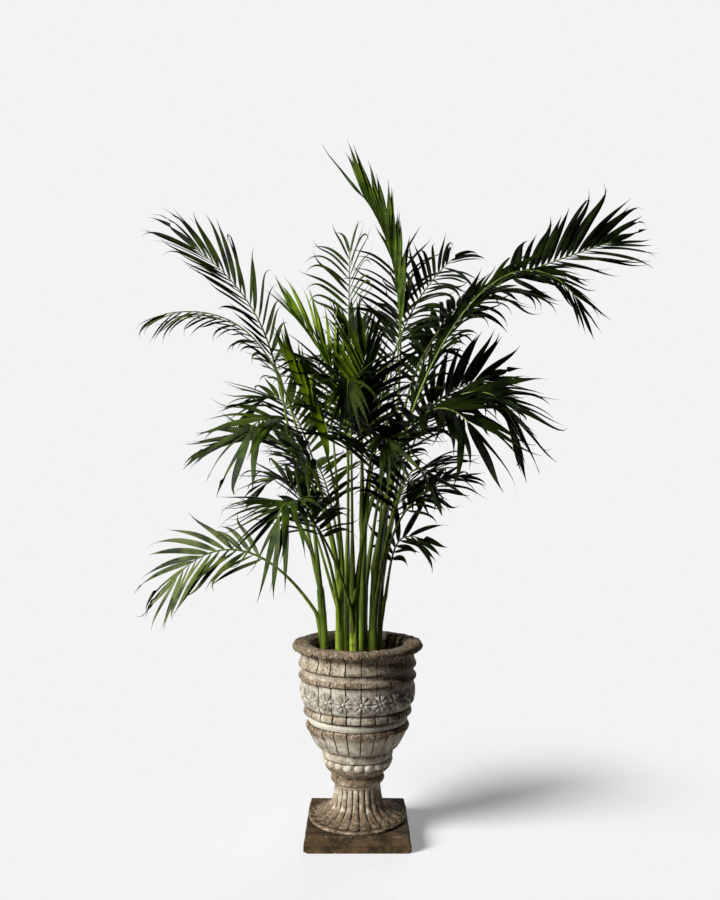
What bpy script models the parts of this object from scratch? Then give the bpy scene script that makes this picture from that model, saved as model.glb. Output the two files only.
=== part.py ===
# A cat palm in a stone garden urn: a square plinth, a fluted foot, a moulded bowl filled
# with soil, ten canes in a clump, and their fronds. Metres, +Z up, origin under the plinth.
import math
import random
from typing import NamedTuple

import bmesh
import bpy
from mathutils import Vector
from mathutils.bvhtree import BVHTree

FIT = 0.0003                 # gap that keeps touching solids apart

# The plinth: a square slab with splayed sides.
PLINTH_TOP_WIDTH = 0.296
PLINTH_WIDTH = 0.311
PLINTH_SKIRT = 0.018         # height of its upright edge, under the splay
PLINTH_HEIGHT = 0.047

# The foot: a round disc, then a stem whose flutes spread down over the disc.
DISC_RADIUS = 0.147
DISC_TOP = 0.056
FOOT_TOP = 0.186
FOOT_WAIST_RADIUS = 0.0735
FLARE_TOP = 0.128            # where the flutes begin under the neck
FLARE_STEPS = 6
FLARE_POWER = 3.2            # how late the flare sweeps out over the disc
FLUTES = 24
FLUTE_DEPTH = 0.006

# The bowl: outer radii and heights of its mouldings, then the wall and its opening.
SIDES = 2 * FLUTES
LIP_TOP = 0.580
LIP_RADIUS = 0.198
OPENING_RADIUS = 0.1435
BOWL_FLOOR = 0.236
SOIL_TOP = 0.505

PETIOLE_RADIUS = 0.0056
RIB_END_RADIUS = 0.0017
LEAF_THICKNESS = 0.0027
LEAF_WIDTH = 0.021
LEAF_ROOT = 0.011            # length of rib that carries one leaflet
LEAF_ROLL = 24               # how far a leaflet's blade is turned on its own line, degrees
LONGEST_AT = 0.45            # share of the blade where its leaflets are longest
PAIRS_PER_METRE = 14         # pairs of leaflets along a blade, over
FIRST_PAIRS = 4              # those that the shortest blade bears
PETIOLE_RINGS = 6
RIB_SPREAD = 0.87            # half width of a rib's three-sided section, over its radius
TOP_SPREAD = 0.52            # how far petioles stand from the middle of a cane's top
CLEAR = 0.0012               # air kept between leaflets, ribs and canes
UP = Vector((0, 0, 1))


class Cane(NamedTuple):
    foot: tuple              # where it stands in the soil: x, y
    top: tuple               # where its fronds part: x, y, z
    radius: float


class Frond(NamedTuple):
    cane: str
    parts_at: float          # height where it leaves the cane's side, 0 from its top
    heading: float           # degrees: 0 right, 90 away, 180 left, -90 near
    reach: float             # from its foot to its tip, along the heading
    height: float            # of the tip
    lean: float              # at its foot, degrees from upright
    pitch: float             # at its tip, degrees above level
    rise: float              # how firmly it keeps the lean, a share of its span
    run: float               # how firmly it keeps the pitch, likewise
    twist: float             # of its blade about its rib, degrees
    blade: float             # share of its length that bears leaflets
    leaf: float              # its longest leaflet
    hang: float              # how far leaflets fall at their ends, 0 to 1
    open: float              # of its first leaflets from the rib, degrees
    raised: float = 14       # how far leaflets stand up off the blade, degrees
    closing: float = 0.66    # share of that opening lost by the blade's tip
    first: float = 0.84      # length of its first leaflets, a share of the longest
    last: float = 0.62       # and of its last ones


CANES = {
    "a": Cane((-0.100, 0.004), (-0.112, 0.002, 0.730), 0.0125),
    "b": Cane((-0.053, -0.022), (-0.052, -0.020, 0.770), 0.0130),
    "c": Cane((-0.036, 0.032), (-0.036, 0.038, 0.720), 0.0120),
    "d": Cane((-0.010, -0.048), (-0.008, -0.050, 0.735), 0.0135),
    "e": Cane((0.013, -0.004), (0.018, -0.004, 0.930), 0.0120),
    "f": Cane((0.018, 0.044), (0.022, 0.050, 0.760), 0.0120),
    "g": Cane((0.045, -0.022), (0.054, -0.026, 0.800), 0.0130),
    "h": Cane((0.062, 0.026), (0.071, 0.030, 0.770), 0.0125),
    "i": Cane((-0.047, 0.080), (-0.050, 0.092, 0.740), 0.0120),
    "j": Cane((0.060, 0.084), (0.066, 0.098, 0.750), 0.0120),
}

FRONDS = {
    # Left side, from the lowest up.
    "left_low": Frond("a", 0.665, 190, 0.420, 0.775, 33, -50, 0.67, 0.36, 46, 0.56, 0.228, 0.80, 48, 2,
                      0.60, 0.84, 0.80),
    "left_fan": Frond("d", 0.690, 233, 0.315, 0.960, 22, -80, 0.64, 0.30, -6, 0.50, 0.235, 1.00, 52, 8,
                      0.20, 0.80, 1.00),
    "left_mid": Frond("b", 0, 184, 0.340, 1.190, 12, -16, 0.64, 0.36, 22, 0.48, 0.210, 0.60, 42, 2, 0.50, 0.80, 0.80),
    "left_near": Frond("b", 0, 222, 0.325, 1.195, 8, -56, 0.60, 0.36, 20, 0.48, 0.210, 1.00, 48, 0, 0.20, 0.80, 1.00),
    "left_arch": Frond("a", 0, 178, 0.475, 1.573, 5, -10, 0.57, 0.36, 0, 0.42, 0.165, 0.90, 46, -18, 0.50, 0.80, 0.85),
    "left_high": Frond("a", 0, 172, 0.400, 1.790, 14, 38, 0.58, 0.36, 65, 0.40, 0.215, 0.45, 34, 30, 0.50, 0.50, 0.95),
    "left_bright": Frond("b", 0, 228, 0.200, 1.375, 1, 60, 0.56, 0.28, 50, 0.44, 0.205, 0.15, 24, 24,
                         0.50, 0.90, 0.85),
    "left_upright": Frond("c", 0, 182, 0.140, 1.560, -3, 54, 0.70, 0.26, 60, 0.46, 0.215, 0.15, 24, 46,
                          0.50, 0.95, 0.75),
    # The middle, tall ones.
    "mid_tall": Frond("c", 0, 84, 0.050, 1.790, 3, 84, 0.60, 0.30, 18, 0.22, 0.180, 1.50, 40, 30, 0.50, 0.90, 0.60),
    "crest": Frond("g", 0, 182, 0.034, 1.922, -11, 50, 0.55, 0.20, 15, 0.36, 0.205, 0.10, 12, 58, -0.30, 0.82, 0.95),
    "mid_back": Frond("f", 0, 20, 0.100, 1.745, 9, 96, 0.60, 0.30, -60, 0.26, 0.210, 1.30, 46, 20, 0.40, 0.90, 0.70),
    "mid_dark": Frond("f", 0, 128, 0.060, 1.520, 2, 74, 0.56, 0.32, 20, 0.42, 0.200, 0.35, 34, 20, 0.50, 0.85, 0.80),
    # Right side, from the top down.
    "right_arm": Frond("h", 0, -4, 0.692, 1.782, 5, 18, 0.66, 0.46, -60, 0.23, 0.255, 0.40, 56, 14, 0.66, 0.55, 0.62),
    "right_high": Frond("e", 0, -3, 0.270, 1.735, 5, 42, 0.50, 0.26, -50, 0.36, 0.190, 1.50, 50, 14, 0.20, 0.90, 0.60),
    "right_hang": Frond("g", 0, -14, 0.585, 1.578, 7, -55, 0.66, 0.36, -30, 0.62, 0.190, 0.90, 34, 6,
                        -0.20, 0.80, 0.80),
    "right_bright": Frond("e", 0, -84, 0.080, 1.440, 2, 70, 0.56, 0.32, -20, 0.30, 0.200, 0.20, 30, 16,
                          0.50, 0.90, 0.85),
    "right_back": Frond("h", 0, 14, 0.460, 1.680, 12, 2, 0.54, 0.36, -20, 0.46, 0.220, 1.00, 52, 4, 0.40, 0.90, 0.80),
    "right_mid": Frond("g", 0, -2, 0.335, 1.375, 9, 16, 0.58, 0.36, -66, 0.27, 0.200, 0.30, 50, 14, 0.66, 0.80, 0.65),
    "right_droop": Frond("e", 0, -26, 0.450, 1.252, 14, -64, 0.58, 0.34, -25, 0.46, 0.220, 0.75, 30, 4,
                         0.20, 0.80, 1.00),
    "right_near": Frond("d", 0, -45, 0.420, 1.215, 6, -44, 0.62, 0.34, -10, 0.52, 0.250, 1.10, 52, 10,
                        0.20, 0.80, 1.00),
    "right_low": Frond("g", 0.770, 6, 0.240, 1.080, 10, 16, 0.50, 0.36, -20, 0.50, 0.170, 0.90, 58, 4),
    "right_foot": Frond("h", 0.710, -20, 0.105, 0.892, 8, -12, 0.80, 0.34, -50, 0.56, 0.170, 0.90, 60, 10),
    # The near side.
    "near_top": Frond("d", 0, -92, 0.310, 1.290, 7, -52, 0.62, 0.36, 0, 0.46, 0.250, 0.85, 50, 14),
    "near_mid": Frond("e", 0.850, -78, 0.300, 1.150, 12, -52, 0.55, 0.36, 8, 0.48, 0.240, 0.85, 50, 14),
    "near_left": Frond("b", 0.700, 245, 0.305, 0.968, 14, -78, 0.55, 0.32, -4, 0.50, 0.225, 1.00, 52, 8,
                       0.20, 0.80, 1.00),
    "near_right": Frond("g", 0.740, -58, 0.260, 1.070, 14, -46, 0.52, 0.36, 0, 0.50, 0.230, 0.85, 50, 14),
    # The far side.
    "far_left": Frond("i", 0, 118, 0.360, 1.470, 8, -20, 0.58, 0.36, 10, 0.44, 0.220, 0.70, 50, 8),
    "far_right": Frond("j", 0, 64, 0.380, 1.570, 8, -20, 0.58, 0.36, -10, 0.44, 0.240, 0.70, 50, 14),
    "far_mid": Frond("f", 0, 94, 0.440, 1.310, 10, -45, 0.58, 0.36, 0, 0.46, 0.250, 0.80, 50, 14),
    "far_wide_left": Frond("i", 0, 150, 0.350, 1.300, 12, -42, 0.56, 0.36, 20, 0.46, 0.220, 0.80, 50, 14),
    "far_wide_right": Frond("j", 0, 32, 0.380, 1.310, 12, -44, 0.56, 0.36, -20, 0.46, 0.230, 0.80, 50, 14),
    "far_low": Frond("c", 0, 115, 0.340, 1.090, 14, -48, 0.50, 0.36, 0, 0.50, 0.230, 0.80, 50, 14),
    "far_low_right": Frond("j", 0.690, 62, 0.280, 1.030, 16, -46, 0.50, 0.36, 0, 0.50, 0.220, 0.80, 50, 14),
    "far_low_left": Frond("i", 0.680, 166, 0.240, 1.050, 18, -40, 0.50, 0.36, 15, 0.50, 0.200, 0.80, 50, 14),
}


def clearScene():
    for item in list(bpy.data.objects):
        bpy.data.objects.remove(item, do_unlink=True)


def material(name, colour, roughness):
    made = bpy.data.materials.new(name)
    made.use_nodes = True
    shader = made.node_tree.nodes["Principled BSDF"]
    shader.inputs["Base Color"].default_value = (*colour, 1)
    shader.inputs["Roughness"].default_value = roughness
    shader.inputs["Metallic"].default_value = 0
    return made


def addObject(name, bm, finish, smooth=30):
    # One closed body, all triangles, with its faces outwards.
    bmesh.ops.triangulate(bm, faces=bm.faces)
    bmesh.ops.recalc_face_normals(bm, faces=bm.faces)
    mesh = bpy.data.meshes.new(name)
    bm.to_mesh(mesh)
    bm.free()
    mesh.materials.append(finish)
    mesh.shade_smooth()
    mesh.set_sharp_from_angle(angle=math.radians(smooth))
    item = bpy.data.objects.new(name, mesh)
    bpy.context.collection.objects.link(item)
    return item


def skinRings(bm, rings):
    # A closed skin over rings of points, which all have the same count.
    rows = [[bm.verts.new(point) for point in ring] for ring in rings]
    for low, high in zip(rows, rows[1:]):
        for i in range(len(low)):
            j = (i + 1) % len(low)
            bm.faces.new((low[i], low[j], high[j], high[i]))
    bm.faces.new(reversed(rows[0]))
    bm.faces.new(rows[-1])
    return rows


def circle(radius, height, sides=SIDES, centre=(0, 0)):
    step = 2 * math.pi / sides
    return [Vector((centre[0] + radius * math.cos(i * step), centre[1] + radius * math.sin(i * step), height))
            for i in range(sides)]


def bulge(top, bottom, out, steps=3):
    # A moulding between two (radius, height) corners that stands out, or sinks in, by a sine.
    points = []
    for i in range(steps + 1):
        part = i / steps
        radius = top[0] + (bottom[0] - top[0]) * part + out * math.sin(math.pi * part)
        points.append((radius, top[1] + (bottom[1] - top[1]) * part))
    return points


def bowlOutline():
    # From the lip's inner edge, outwards and down to the underside.
    outline = [(OPENING_RADIUS, LIP_TOP - 0.006), (OPENING_RADIUS + 0.007, LIP_TOP)]
    outline += bulge((0.187, LIP_TOP - 0.001), (0.180, 0.552), LIP_RADIUS - 0.1835)
    outline += bulge((0.174, 0.545), (0.1755, 0.521), -0.0025, 2)    # hollow cells under the lip
    outline += [(0.1785, 0.515), (0.172, 0.507), (0.170, 0.498), (0.179, 0.479), (0.1735, 0.4715)]
    outline += [(0.171, 0.458), (0.172, 0.432), (0.168, 0.400), (0.1585, 0.388)]    # flower band
    outline += [(0.1615, 0.372), (0.158, 0.3645), (0.149, 0.3605), (0.151, 0.351), (0.1475, 0.341)]
    outline += [(0.1545, 0.336), (0.1565, 0.329), (0.146, 0.308), (0.1305, 0.2765), (0.119, 0.265)]
    outline += [(0.1065, 0.260), (0.1075, 0.247), (0.103, 0.2345)]
    outline += bulge((0.103, 0.2325), (0.102, 0.2115), 0.006, 2)     # ring of beads
    outline += bulge((0.098, 0.204), (0.0785, FOOT_TOP + 0.0006), 0.002, 2)
    return outline


def innerOutline():
    # The bowl's inside, from the opening down to its floor.
    return [(OPENING_RADIUS, LIP_TOP - 0.006), (0.136, 0.535), (0.131, SOIL_TOP), (0.122, 0.430),
            (0.107, 0.330), (0.082, 0.262), (0.060, BOWL_FLOOR)]


def buildPlinth(finish):
    bm = bmesh.new()
    half = [PLINTH_WIDTH / 2, PLINTH_WIDTH / 2, PLINTH_TOP_WIDTH / 2 + 0.002, PLINTH_TOP_WIDTH / 2]
    levels = [0, PLINTH_SKIRT, PLINTH_HEIGHT - 0.006, PLINTH_HEIGHT]
    corners = ((-1, -1), (1, -1), (1, 1), (-1, 1))
    skinRings(bm, [[Vector((x * h, y * h, z)) for x, y in corners] for h, z in zip(half, levels)])
    addObject("urn_plinth", bm, finish)


def buildFoot(finish):
    # Disc first, then fluted rings that narrow to the waist, then the ring under the bowl.
    bm = bmesh.new()
    low = PLINTH_HEIGHT + FIT
    rings = [circle(DISC_RADIUS, low), circle(DISC_RADIUS, DISC_TOP - 0.003)]
    sweep = DISC_RADIUS - 0.009 - FOOT_WAIST_RADIUS
    for i in range(FLARE_STEPS):
        part = i / (FLARE_STEPS - 1)
        radius = FOOT_WAIST_RADIUS + sweep * (1 - part) ** FLARE_POWER
        height = DISC_TOP + (FLARE_TOP - DISC_TOP) * part
        ridge = circle(radius, height)
        groove = circle(radius - FLUTE_DEPTH * (1 - 0.35 * part), height)
        rings.append([(ridge, groove)[k % 2][k] for k in range(SIDES)])
    for radius, height in ((0.0705, 0.140), (0.0735, 0.156), (0.0805, 0.162), (0.0815, 0.171), (0.078, 0.180)):
        rings.append(circle(radius, height))
    rings.append(circle(0.078, FOOT_TOP))
    skinRings(bm, rings)
    addObject("urn_foot", bm, finish)


def buildBowl(finish):
    bm = bmesh.new()
    outer = list(reversed(bowlOutline()))
    inner = innerOutline()[1:]
    skinRings(bm, [circle(radius, height) for radius, height in outer + inner])
    addObject("urn_bowl", bm, finish)


def buildSoil(finish):
    # It fills the bowl to the soil line, a hair inside the wall.
    bm = bmesh.new()
    below = [(radius - 2 * FIT, height) for radius, height in innerOutline() if height <= SOIL_TOP]
    rings = [circle(below[-1][0], BOWL_FLOOR + FIT)]
    rings += [circle(radius, height) for radius, height in reversed(below[:-1])]
    skinRings(bm, rings)
    addObject("soil", bm, finish)


def caneCentre(cane, height):
    # A cane leans evenly and leaves the soil upright.
    foot = Vector((*cane.foot, SOIL_TOP + FIT))
    top = Vector(cane.top)
    part = (height - foot.z) / (top.z - foot.z)
    ease = part * part * (1.6 - 0.6 * part)
    return Vector((foot.x + (top.x - foot.x) * ease, foot.y + (top.y - foot.y) * ease, height))


def caneRadius(cane, height):
    part = (height - SOIL_TOP) / (cane.top[2] - SOIL_TOP)
    return cane.radius * (1.08 - 0.16 * part)


def buildCane(name, cane, finish, sides=8, levels=6):
    bm = bmesh.new()
    low = SOIL_TOP + FIT
    rings = []
    for i in range(levels):
        height = low + (cane.top[2] - low) * i / (levels - 1)
        centre = caneCentre(cane, height)
        rings.append(circle(caneRadius(cane, height), height, sides, centre))
    skinRings(bm, rings)
    return addObject("cane_" + name, bm, finish, 60)


class Spine:
    # The rib's line: a cubic curve in the upright plane of its heading, read by length.
    def __init__(self, frond, foot, samples=64):
        angle = math.radians(frond.heading)
        self.out = Vector((math.cos(angle), math.sin(angle), 0))
        self.side = Vector((math.sin(angle), -math.cos(angle), 0))
        lean = math.radians(frond.lean)
        pitch = math.radians(frond.pitch)
        end = foot + self.out * frond.reach
        end.z = frond.height
        span = (end - foot).length
        start_dir = self.out * math.sin(lean) + UP * math.cos(lean)
        end_dir = self.out * math.cos(pitch) + UP * math.sin(pitch)
        near = foot + start_dir * span * frond.rise
        far = end - end_dir * span * frond.run
        self.points = []
        self.lengths = [0.0]
        for i in range(samples + 1):
            t = i / samples
            u = 1 - t
            self.points.append(foot * u**3 + near * 3 * u * u * t + far * 3 * u * t * t + end * t**3)
        for a, b in zip(self.points, self.points[1:]):
            self.lengths.append(self.lengths[-1] + (b - a).length)
        self.length = self.lengths[-1]
        self.start_dir = start_dir

    def at(self, length):
        # Point and direction at a length from the foot.
        length = min(max(length, 0.0), self.length)
        i = 1
        while i < len(self.lengths) - 1 and self.lengths[i] < length:
            i += 1
        span = self.lengths[i] - self.lengths[i - 1]
        part = (length - self.lengths[i - 1]) / span
        a, b = self.points[i - 1], self.points[i]
        return a.lerp(b, part), (b - a).normalized()


def planTops():
    # Petioles on one cane's top stand round it in the order of their headings.
    places = {}
    for letter, cane in CANES.items():
        tops = [name for name, frond in FRONDS.items() if frond.cane == letter and not frond.parts_at]
        tops.sort(key=lambda name: FRONDS[name].heading % 360)
        count = len(tops)
        spread = caneRadius(cane, cane.top[2]) * TOP_SPREAD if count > 1 else 0
        slots = [FRONDS[name].heading % 360 - 360 * i / count for i, name in enumerate(tops)]
        for i, name in enumerate(tops):
            turn = math.radians(sum(slots) / count + 360 * i / count)
            places[name] = Vector((math.cos(turn), math.sin(turn), 0)) * spread
    return places


def footOf(name, places):
    # On the cane's flat top, or on its side with room for the cut.
    frond = FRONDS[name]
    cane = CANES[frond.cane]
    if name in places:
        return Vector(cane.top) + places[name] + UP * FIT
    angle = math.radians(frond.heading)
    out = Vector((math.cos(angle), math.sin(angle), 0))
    away = caneRadius(cane, frond.parts_at) + CLEAR + PETIOLE_RADIUS
    return caneCentre(cane, frond.parts_at) + out * away


class Rib:
    def __init__(self, name, frond, spine):
        self.name = name
        self.frond = frond
        self.spine = spine
        self.blade_start = spine.length * (1 - frond.blade)
        self.pairs = round(FIRST_PAIRS + PAIRS_PER_METRE * spine.length * frond.blade)

    def radius(self, length):
        part = length / self.spine.length
        return PETIOLE_RADIUS + (RIB_END_RADIUS - PETIOLE_RADIUS) * part ** 0.8

    def frame(self, length):
        # Point, along, to the blade's right, and up off the blade.
        point, along = self.spine.at(length)
        up = self.spine.side.cross(along)
        settle = min(1.0, length / max(self.blade_start, 0.01))
        angle = math.radians(self.frond.twist) * settle * settle * (3 - 2 * settle)
        side = self.spine.side * math.cos(angle) + up * math.sin(angle)
        return point, along, side, side.cross(along)

    def section(self, length, extra=0.0):
        point, along, side, up = self.frame(length)
        radius = self.radius(length) + extra
        low = point - up * radius / 2
        return [point + up * radius, low - side * radius * RIB_SPREAD, low + side * radius * RIB_SPREAD]

    def leafRoots(self):
        # Start and end, along the rib, of each pair's roots.
        blade = self.spine.length - self.blade_start - LEAF_ROOT
        for i in range(self.pairs):
            start = self.blade_start + blade * ((i + 0.25) / (self.pairs - 0.25)) ** 0.94
            yield i / (self.pairs - 1), start, start + LEAF_ROOT

    def rings(self):
        lengths = [self.blade_start * i / PETIOLE_RINGS for i in range(PETIOLE_RINGS)]
        for part, start, end in self.leafRoots():
            lengths += [start, end]
        lengths.append(self.spine.length)
        return lengths

    def tube(self):
        rings = [self.section(length) for length in self.rings()]
        rings[0] = self.footCut(rings[0])
        return rings

    def thicker(self):
        # Its tube with the air it needs, without its foot, which stands close on the cane.
        return [self.section(length, CLEAR) for length in self.rings()[1:]]

    def footCut(self, ring):
        # The foot is cut upright along the cane's side, or level over the cane's top.
        cane = CANES[self.frond.cane]
        way = self.spine.start_dir
        facing = UP
        wall = cane.top[2] + FIT
        centre = Vector((0, 0, 0))
        if self.frond.parts_at:
            facing = self.spine.out
            centre = caneCentre(cane, self.frond.parts_at)
            wall = caneRadius(cane, self.frond.parts_at) + CLEAR
        return [p + way * ((wall - (p - centre).dot(facing)) / way.dot(facing)) for p in ring]


def lengthShare(frond, part):
    # Leaflets lengthen from the foot of the blade, then shorten again towards its tip.
    if part < LONGEST_AT:
        return frond.first + (1 - frond.first) * (part / LONGEST_AT) ** 1.5
    return 1 - (1 - frond.last) * ((part - LONGEST_AT) / (1 - LONGEST_AT)) ** 2


def leafPlan(rib, part, start, end, hand, draw):
    # One leaflet as its root, middle and tip sections: its direction opens from the rib at
    # the foot of the blade and closes towards the tip, and its end falls.
    frond = rib.frond
    point, along, side, up = rib.frame((start + end) / 2)
    open_angle = math.radians(frond.open * (1 - frond.closing * part * part) + draw.uniform(-3, 3))
    raised = math.radians(frond.raised + 8 * math.sin(math.pi * part))
    out = side * hand * math.cos(raised) + up * math.sin(raised)
    way = (along * math.cos(open_angle) + out * math.sin(open_angle)).normalized()
    swell = math.sin(math.pi * (0.22 + 0.70 * part))
    length = frond.leaf * lengthShare(frond, part) * draw.uniform(0.92, 1.06)
    width = LEAF_WIDTH * (0.72 + 0.28 * swell)
    return point, way, length, width, along, up


def leafSections(rib, plan, lift, scale, swollen=0.0):
    point, way, length, width, along, up = plan
    hang = rib.frond.hang
    roll = math.radians(LEAF_ROLL)
    way = (way + UP * lift).normalized()
    length = length * scale
    fall = (way - UP * (0.25 + hang)).normalized()
    first = (way - UP * 0.18 * hang).normalized()
    middle = point + first * length * 0.5
    tip = middle + (first * 0.5 + fall * 0.5).normalized() * length * 0.5
    across = (along - way * along.dot(way)).normalized()
    face = across.cross(way)
    if face.dot(up) < 0:
        face = -face
    turned = across * math.cos(roll) - face * math.sin(roll)
    normal = across * math.sin(roll) + face * math.cos(roll)
    half = turned * (width / 2 + swollen)
    thick = normal * (LEAF_THICKNESS / 2 + swollen)
    return [middle - half + thick, middle + half + thick, middle + half - thick, middle - half - thick], tip


def rootQuad(rib, start, end, hand):
    low, high = rib.section(start), rib.section(end)
    corner = 2 if hand > 0 else 1
    return [low[0], high[0], high[corner], low[corner]]


def leafTree(root, middle, tip, begin):
    # A search tree over a leaflet from a share of its inner half out to its tip.
    first = [a.lerp(b, begin) for a, b in zip(root, middle)]
    points = first + middle + [tip]
    faces = [(0, 1, 2, 3)]
    for i in range(4):
        j = (i + 1) % 4
        faces += [(i, j, 4 + j, 4 + i), (4 + i, 4 + j, 8)]
    return points, BVHTree.FromPolygons(points, faces)


class Space:
    # What is already placed: search trees with their boxes.
    def __init__(self):
        self.items = []

    def add(self, points, tree, owner):
        low = Vector([min(p[i] for p in points) for i in range(3)])
        high = Vector([max(p[i] for p in points) for i in range(3)])
        self.items.append((low, high, tree, owner))

    def hit(self, points, tree, spare=None):
        low = [min(p[i] for p in points) for i in range(3)]
        high = [max(p[i] for p in points) for i in range(3)]
        for other_low, other_high, other, owner in self.items:
            if owner == spare:
                continue
            if all(low[i] <= other_high[i] and high[i] >= other_low[i] for i in range(3)):
                if other.overlap(tree):
                    return True
        return False


def tubeTree(rings):
    points = [p for ring in rings for p in ring]
    faces = []
    sides = len(rings[0])
    for r in range(len(rings) - 1):
        for i in range(sides):
            j = (i + 1) % sides
            faces.append((r * sides + i, r * sides + j, (r + 1) * sides + j, (r + 1) * sides + i))
    faces += [tuple(range(sides)), tuple(range(len(points) - sides, len(points)))]
    return points, BVHTree.FromPolygons(points, faces)


def objectTree(item):
    points = [v.co.copy() for v in item.data.vertices]
    return points, BVHTree.FromPolygons(points, [tuple(p.vertices) for p in item.data.polygons])


def placeRibs(space):
    places = planTops()
    ribs = []
    for name, frond in FRONDS.items():
        rib = Rib(name, frond, Spine(frond, footOf(name, places)))
        points, tree = tubeTree(rib.thicker())
        if space.hit(points, tree):
            print("rib touches another:", name)
        points, tree = tubeTree(rib.tube())
        space.add(points, tree, name)
        ribs.append(rib)
    return ribs


def growFrond(rib, seed, space, finish):
    draw = random.Random(seed)
    bm = bmesh.new()
    rows = skinRings(bm, rib.tube())
    skipped = 0
    row = PETIOLE_RINGS
    for part, start, end in rib.leafRoots():
        for hand in (-1, 1):
            plan = leafPlan(rib, part, start, end, hand, draw)
            found = placeLeaf(rib, plan, start, end, hand, space)
            if found is None:
                skipped += 1
                continue
            middle, tip = found
            corner = 2 if hand > 0 else 1
            root = [rows[row][0], rows[row + 1][0], rows[row + 1][corner], rows[row][corner]]
            bm.faces.remove(next(f for f in root[0].link_faces if all(v in f.verts for v in root)))
            ring = [bm.verts.new(p) for p in middle]
            end_vert = bm.verts.new(tip)
            for i in range(4):
                j = (i + 1) % 4
                bm.faces.new((root[i], root[j], ring[j], ring[i]))
                bm.faces.new((ring[i], ring[j], end_vert))
        row += 2
    addObject("frond_" + rib.name, bm, finish)
    return skipped


def placeLeaf(rib, plan, start, end, hand, space):
    # A leaflet that would touch something is lifted, lowered or shortened, or left out.
    root = rootQuad(rib, start, end, hand)
    for scale in (1.0, 0.85, 0.7):
        for lift in (0, 0.12, -0.12, 0.25, -0.25):
            wide_middle, wide_tip = leafSections(rib, plan, lift, scale, CLEAR / 2)
            outer, outer_tree = leafTree(root, wide_middle, wide_tip, 0.25)
            if space.hit(outer, outer_tree):
                continue
            inner, inner_tree = leafTree(root, wide_middle, wide_tip, 0.03)
            if space.hit(inner, inner_tree, rib.name):
                continue
            middle, tip = leafSections(rib, plan, lift, scale)
            points, tree = leafTree(root, middle, tip, 0.03)
            space.add(points, tree, "leaf")
            return middle, tip
    return None


def buildPlant():
    cane_green = material("cane_green", (0.16, 0.28, 0.05), 0.45)
    leaf_green = material("leaf_green", (0.03, 0.09, 0.015), 0.4)
    space = Space()
    for name, cane in CANES.items():
        points, tree = objectTree(buildCane(name, cane, cane_green))
        space.add(points, tree, "cane_" + name)
    for name in ("urn_bowl", "urn_foot"):
        points, tree = objectTree(bpy.data.objects[name])
        space.add(points, tree, name)
    ribs = placeRibs(space)
    for seed, rib in enumerate(ribs):
        skipped = growFrond(rib, seed, space, leaf_green)
        if skipped:
            print("left out", skipped, "leaflets of", rib.name)


def main():
    clearScene()
    stone = material("stone", (0.42, 0.37, 0.29), 0.9)
    moss = material("mossy_stone", (0.16, 0.13, 0.07), 0.95)
    earth = material("soil", (0.05, 0.035, 0.022), 1.0)
    buildPlinth(moss)
    buildFoot(stone)
    buildBowl(stone)
    buildSoil(earth)
    buildPlant()


main()
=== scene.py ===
import math
import random

import bmesh
import bpy
import numpy as np
from mathutils import Matrix, Vector


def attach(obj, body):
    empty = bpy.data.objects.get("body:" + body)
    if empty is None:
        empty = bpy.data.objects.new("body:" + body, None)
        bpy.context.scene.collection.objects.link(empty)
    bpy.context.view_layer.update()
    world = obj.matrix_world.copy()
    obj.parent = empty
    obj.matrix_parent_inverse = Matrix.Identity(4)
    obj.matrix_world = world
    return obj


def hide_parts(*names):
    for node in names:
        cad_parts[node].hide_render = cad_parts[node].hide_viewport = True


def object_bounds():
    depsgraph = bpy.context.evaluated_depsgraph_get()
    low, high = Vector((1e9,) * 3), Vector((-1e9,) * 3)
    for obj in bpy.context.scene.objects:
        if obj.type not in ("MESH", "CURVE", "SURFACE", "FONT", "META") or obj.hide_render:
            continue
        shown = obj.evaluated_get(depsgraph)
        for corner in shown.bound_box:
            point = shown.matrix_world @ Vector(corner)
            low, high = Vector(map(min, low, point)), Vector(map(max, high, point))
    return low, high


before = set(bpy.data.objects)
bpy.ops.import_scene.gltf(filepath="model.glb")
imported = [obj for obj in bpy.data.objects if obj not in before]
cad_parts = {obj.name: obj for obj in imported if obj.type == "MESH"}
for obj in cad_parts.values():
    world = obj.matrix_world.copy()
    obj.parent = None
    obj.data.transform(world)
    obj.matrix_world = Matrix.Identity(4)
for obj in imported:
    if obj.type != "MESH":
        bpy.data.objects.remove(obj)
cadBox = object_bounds()
up = Vector((0, 0, 1))


# small helpers for the object and edit modes

def deselectAll():
    if bpy.context.mode != "OBJECT":
        bpy.ops.object.mode_set(mode="OBJECT")
    bpy.ops.object.select_all(action="DESELECT")


def openEdit(piece):
    deselectAll()
    piece.select_set(True)
    bpy.context.view_layer.objects.active = piece
    bpy.ops.object.mode_set(mode="EDIT")
    bpy.ops.mesh.select_all(action="DESELECT")


def closeEdit():
    bpy.ops.object.mode_set(mode="OBJECT")


def pick(piece, mode, wanted):
    # in edit mode, selects the vertices, edges or faces that wanted() says yes to
    bpy.ops.mesh.select_all(action="DESELECT")
    bpy.ops.mesh.select_mode(type=mode)
    bm = bmesh.from_edit_mesh(piece.data)
    group = {"VERT": bm.verts, "EDGE": bm.edges, "FACE": bm.faces}[mode]
    found = 0
    for item in group:
        if wanted(item):
            item.select_set(True)
            found += 1
    bmesh.update_edit_mesh(piece.data)
    return found


def fresh(name):
    # names the object that an operator has just added, and puts its place in its mesh
    piece = bpy.context.object
    piece.name = name
    piece.data.name = name
    bpy.ops.object.transform_apply(location=True, rotation=True, scale=True)
    return piece


def applyModifier(piece, kind, **settings):
    deselectAll()
    piece.select_set(True)
    bpy.context.view_layer.objects.active = piece
    modifier = piece.modifiers.new(kind.lower(), kind)
    for key, value in settings.items():
        setattr(modifier, key, value)
    bpy.ops.object.modifier_apply(modifier=modifier.name)


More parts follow.
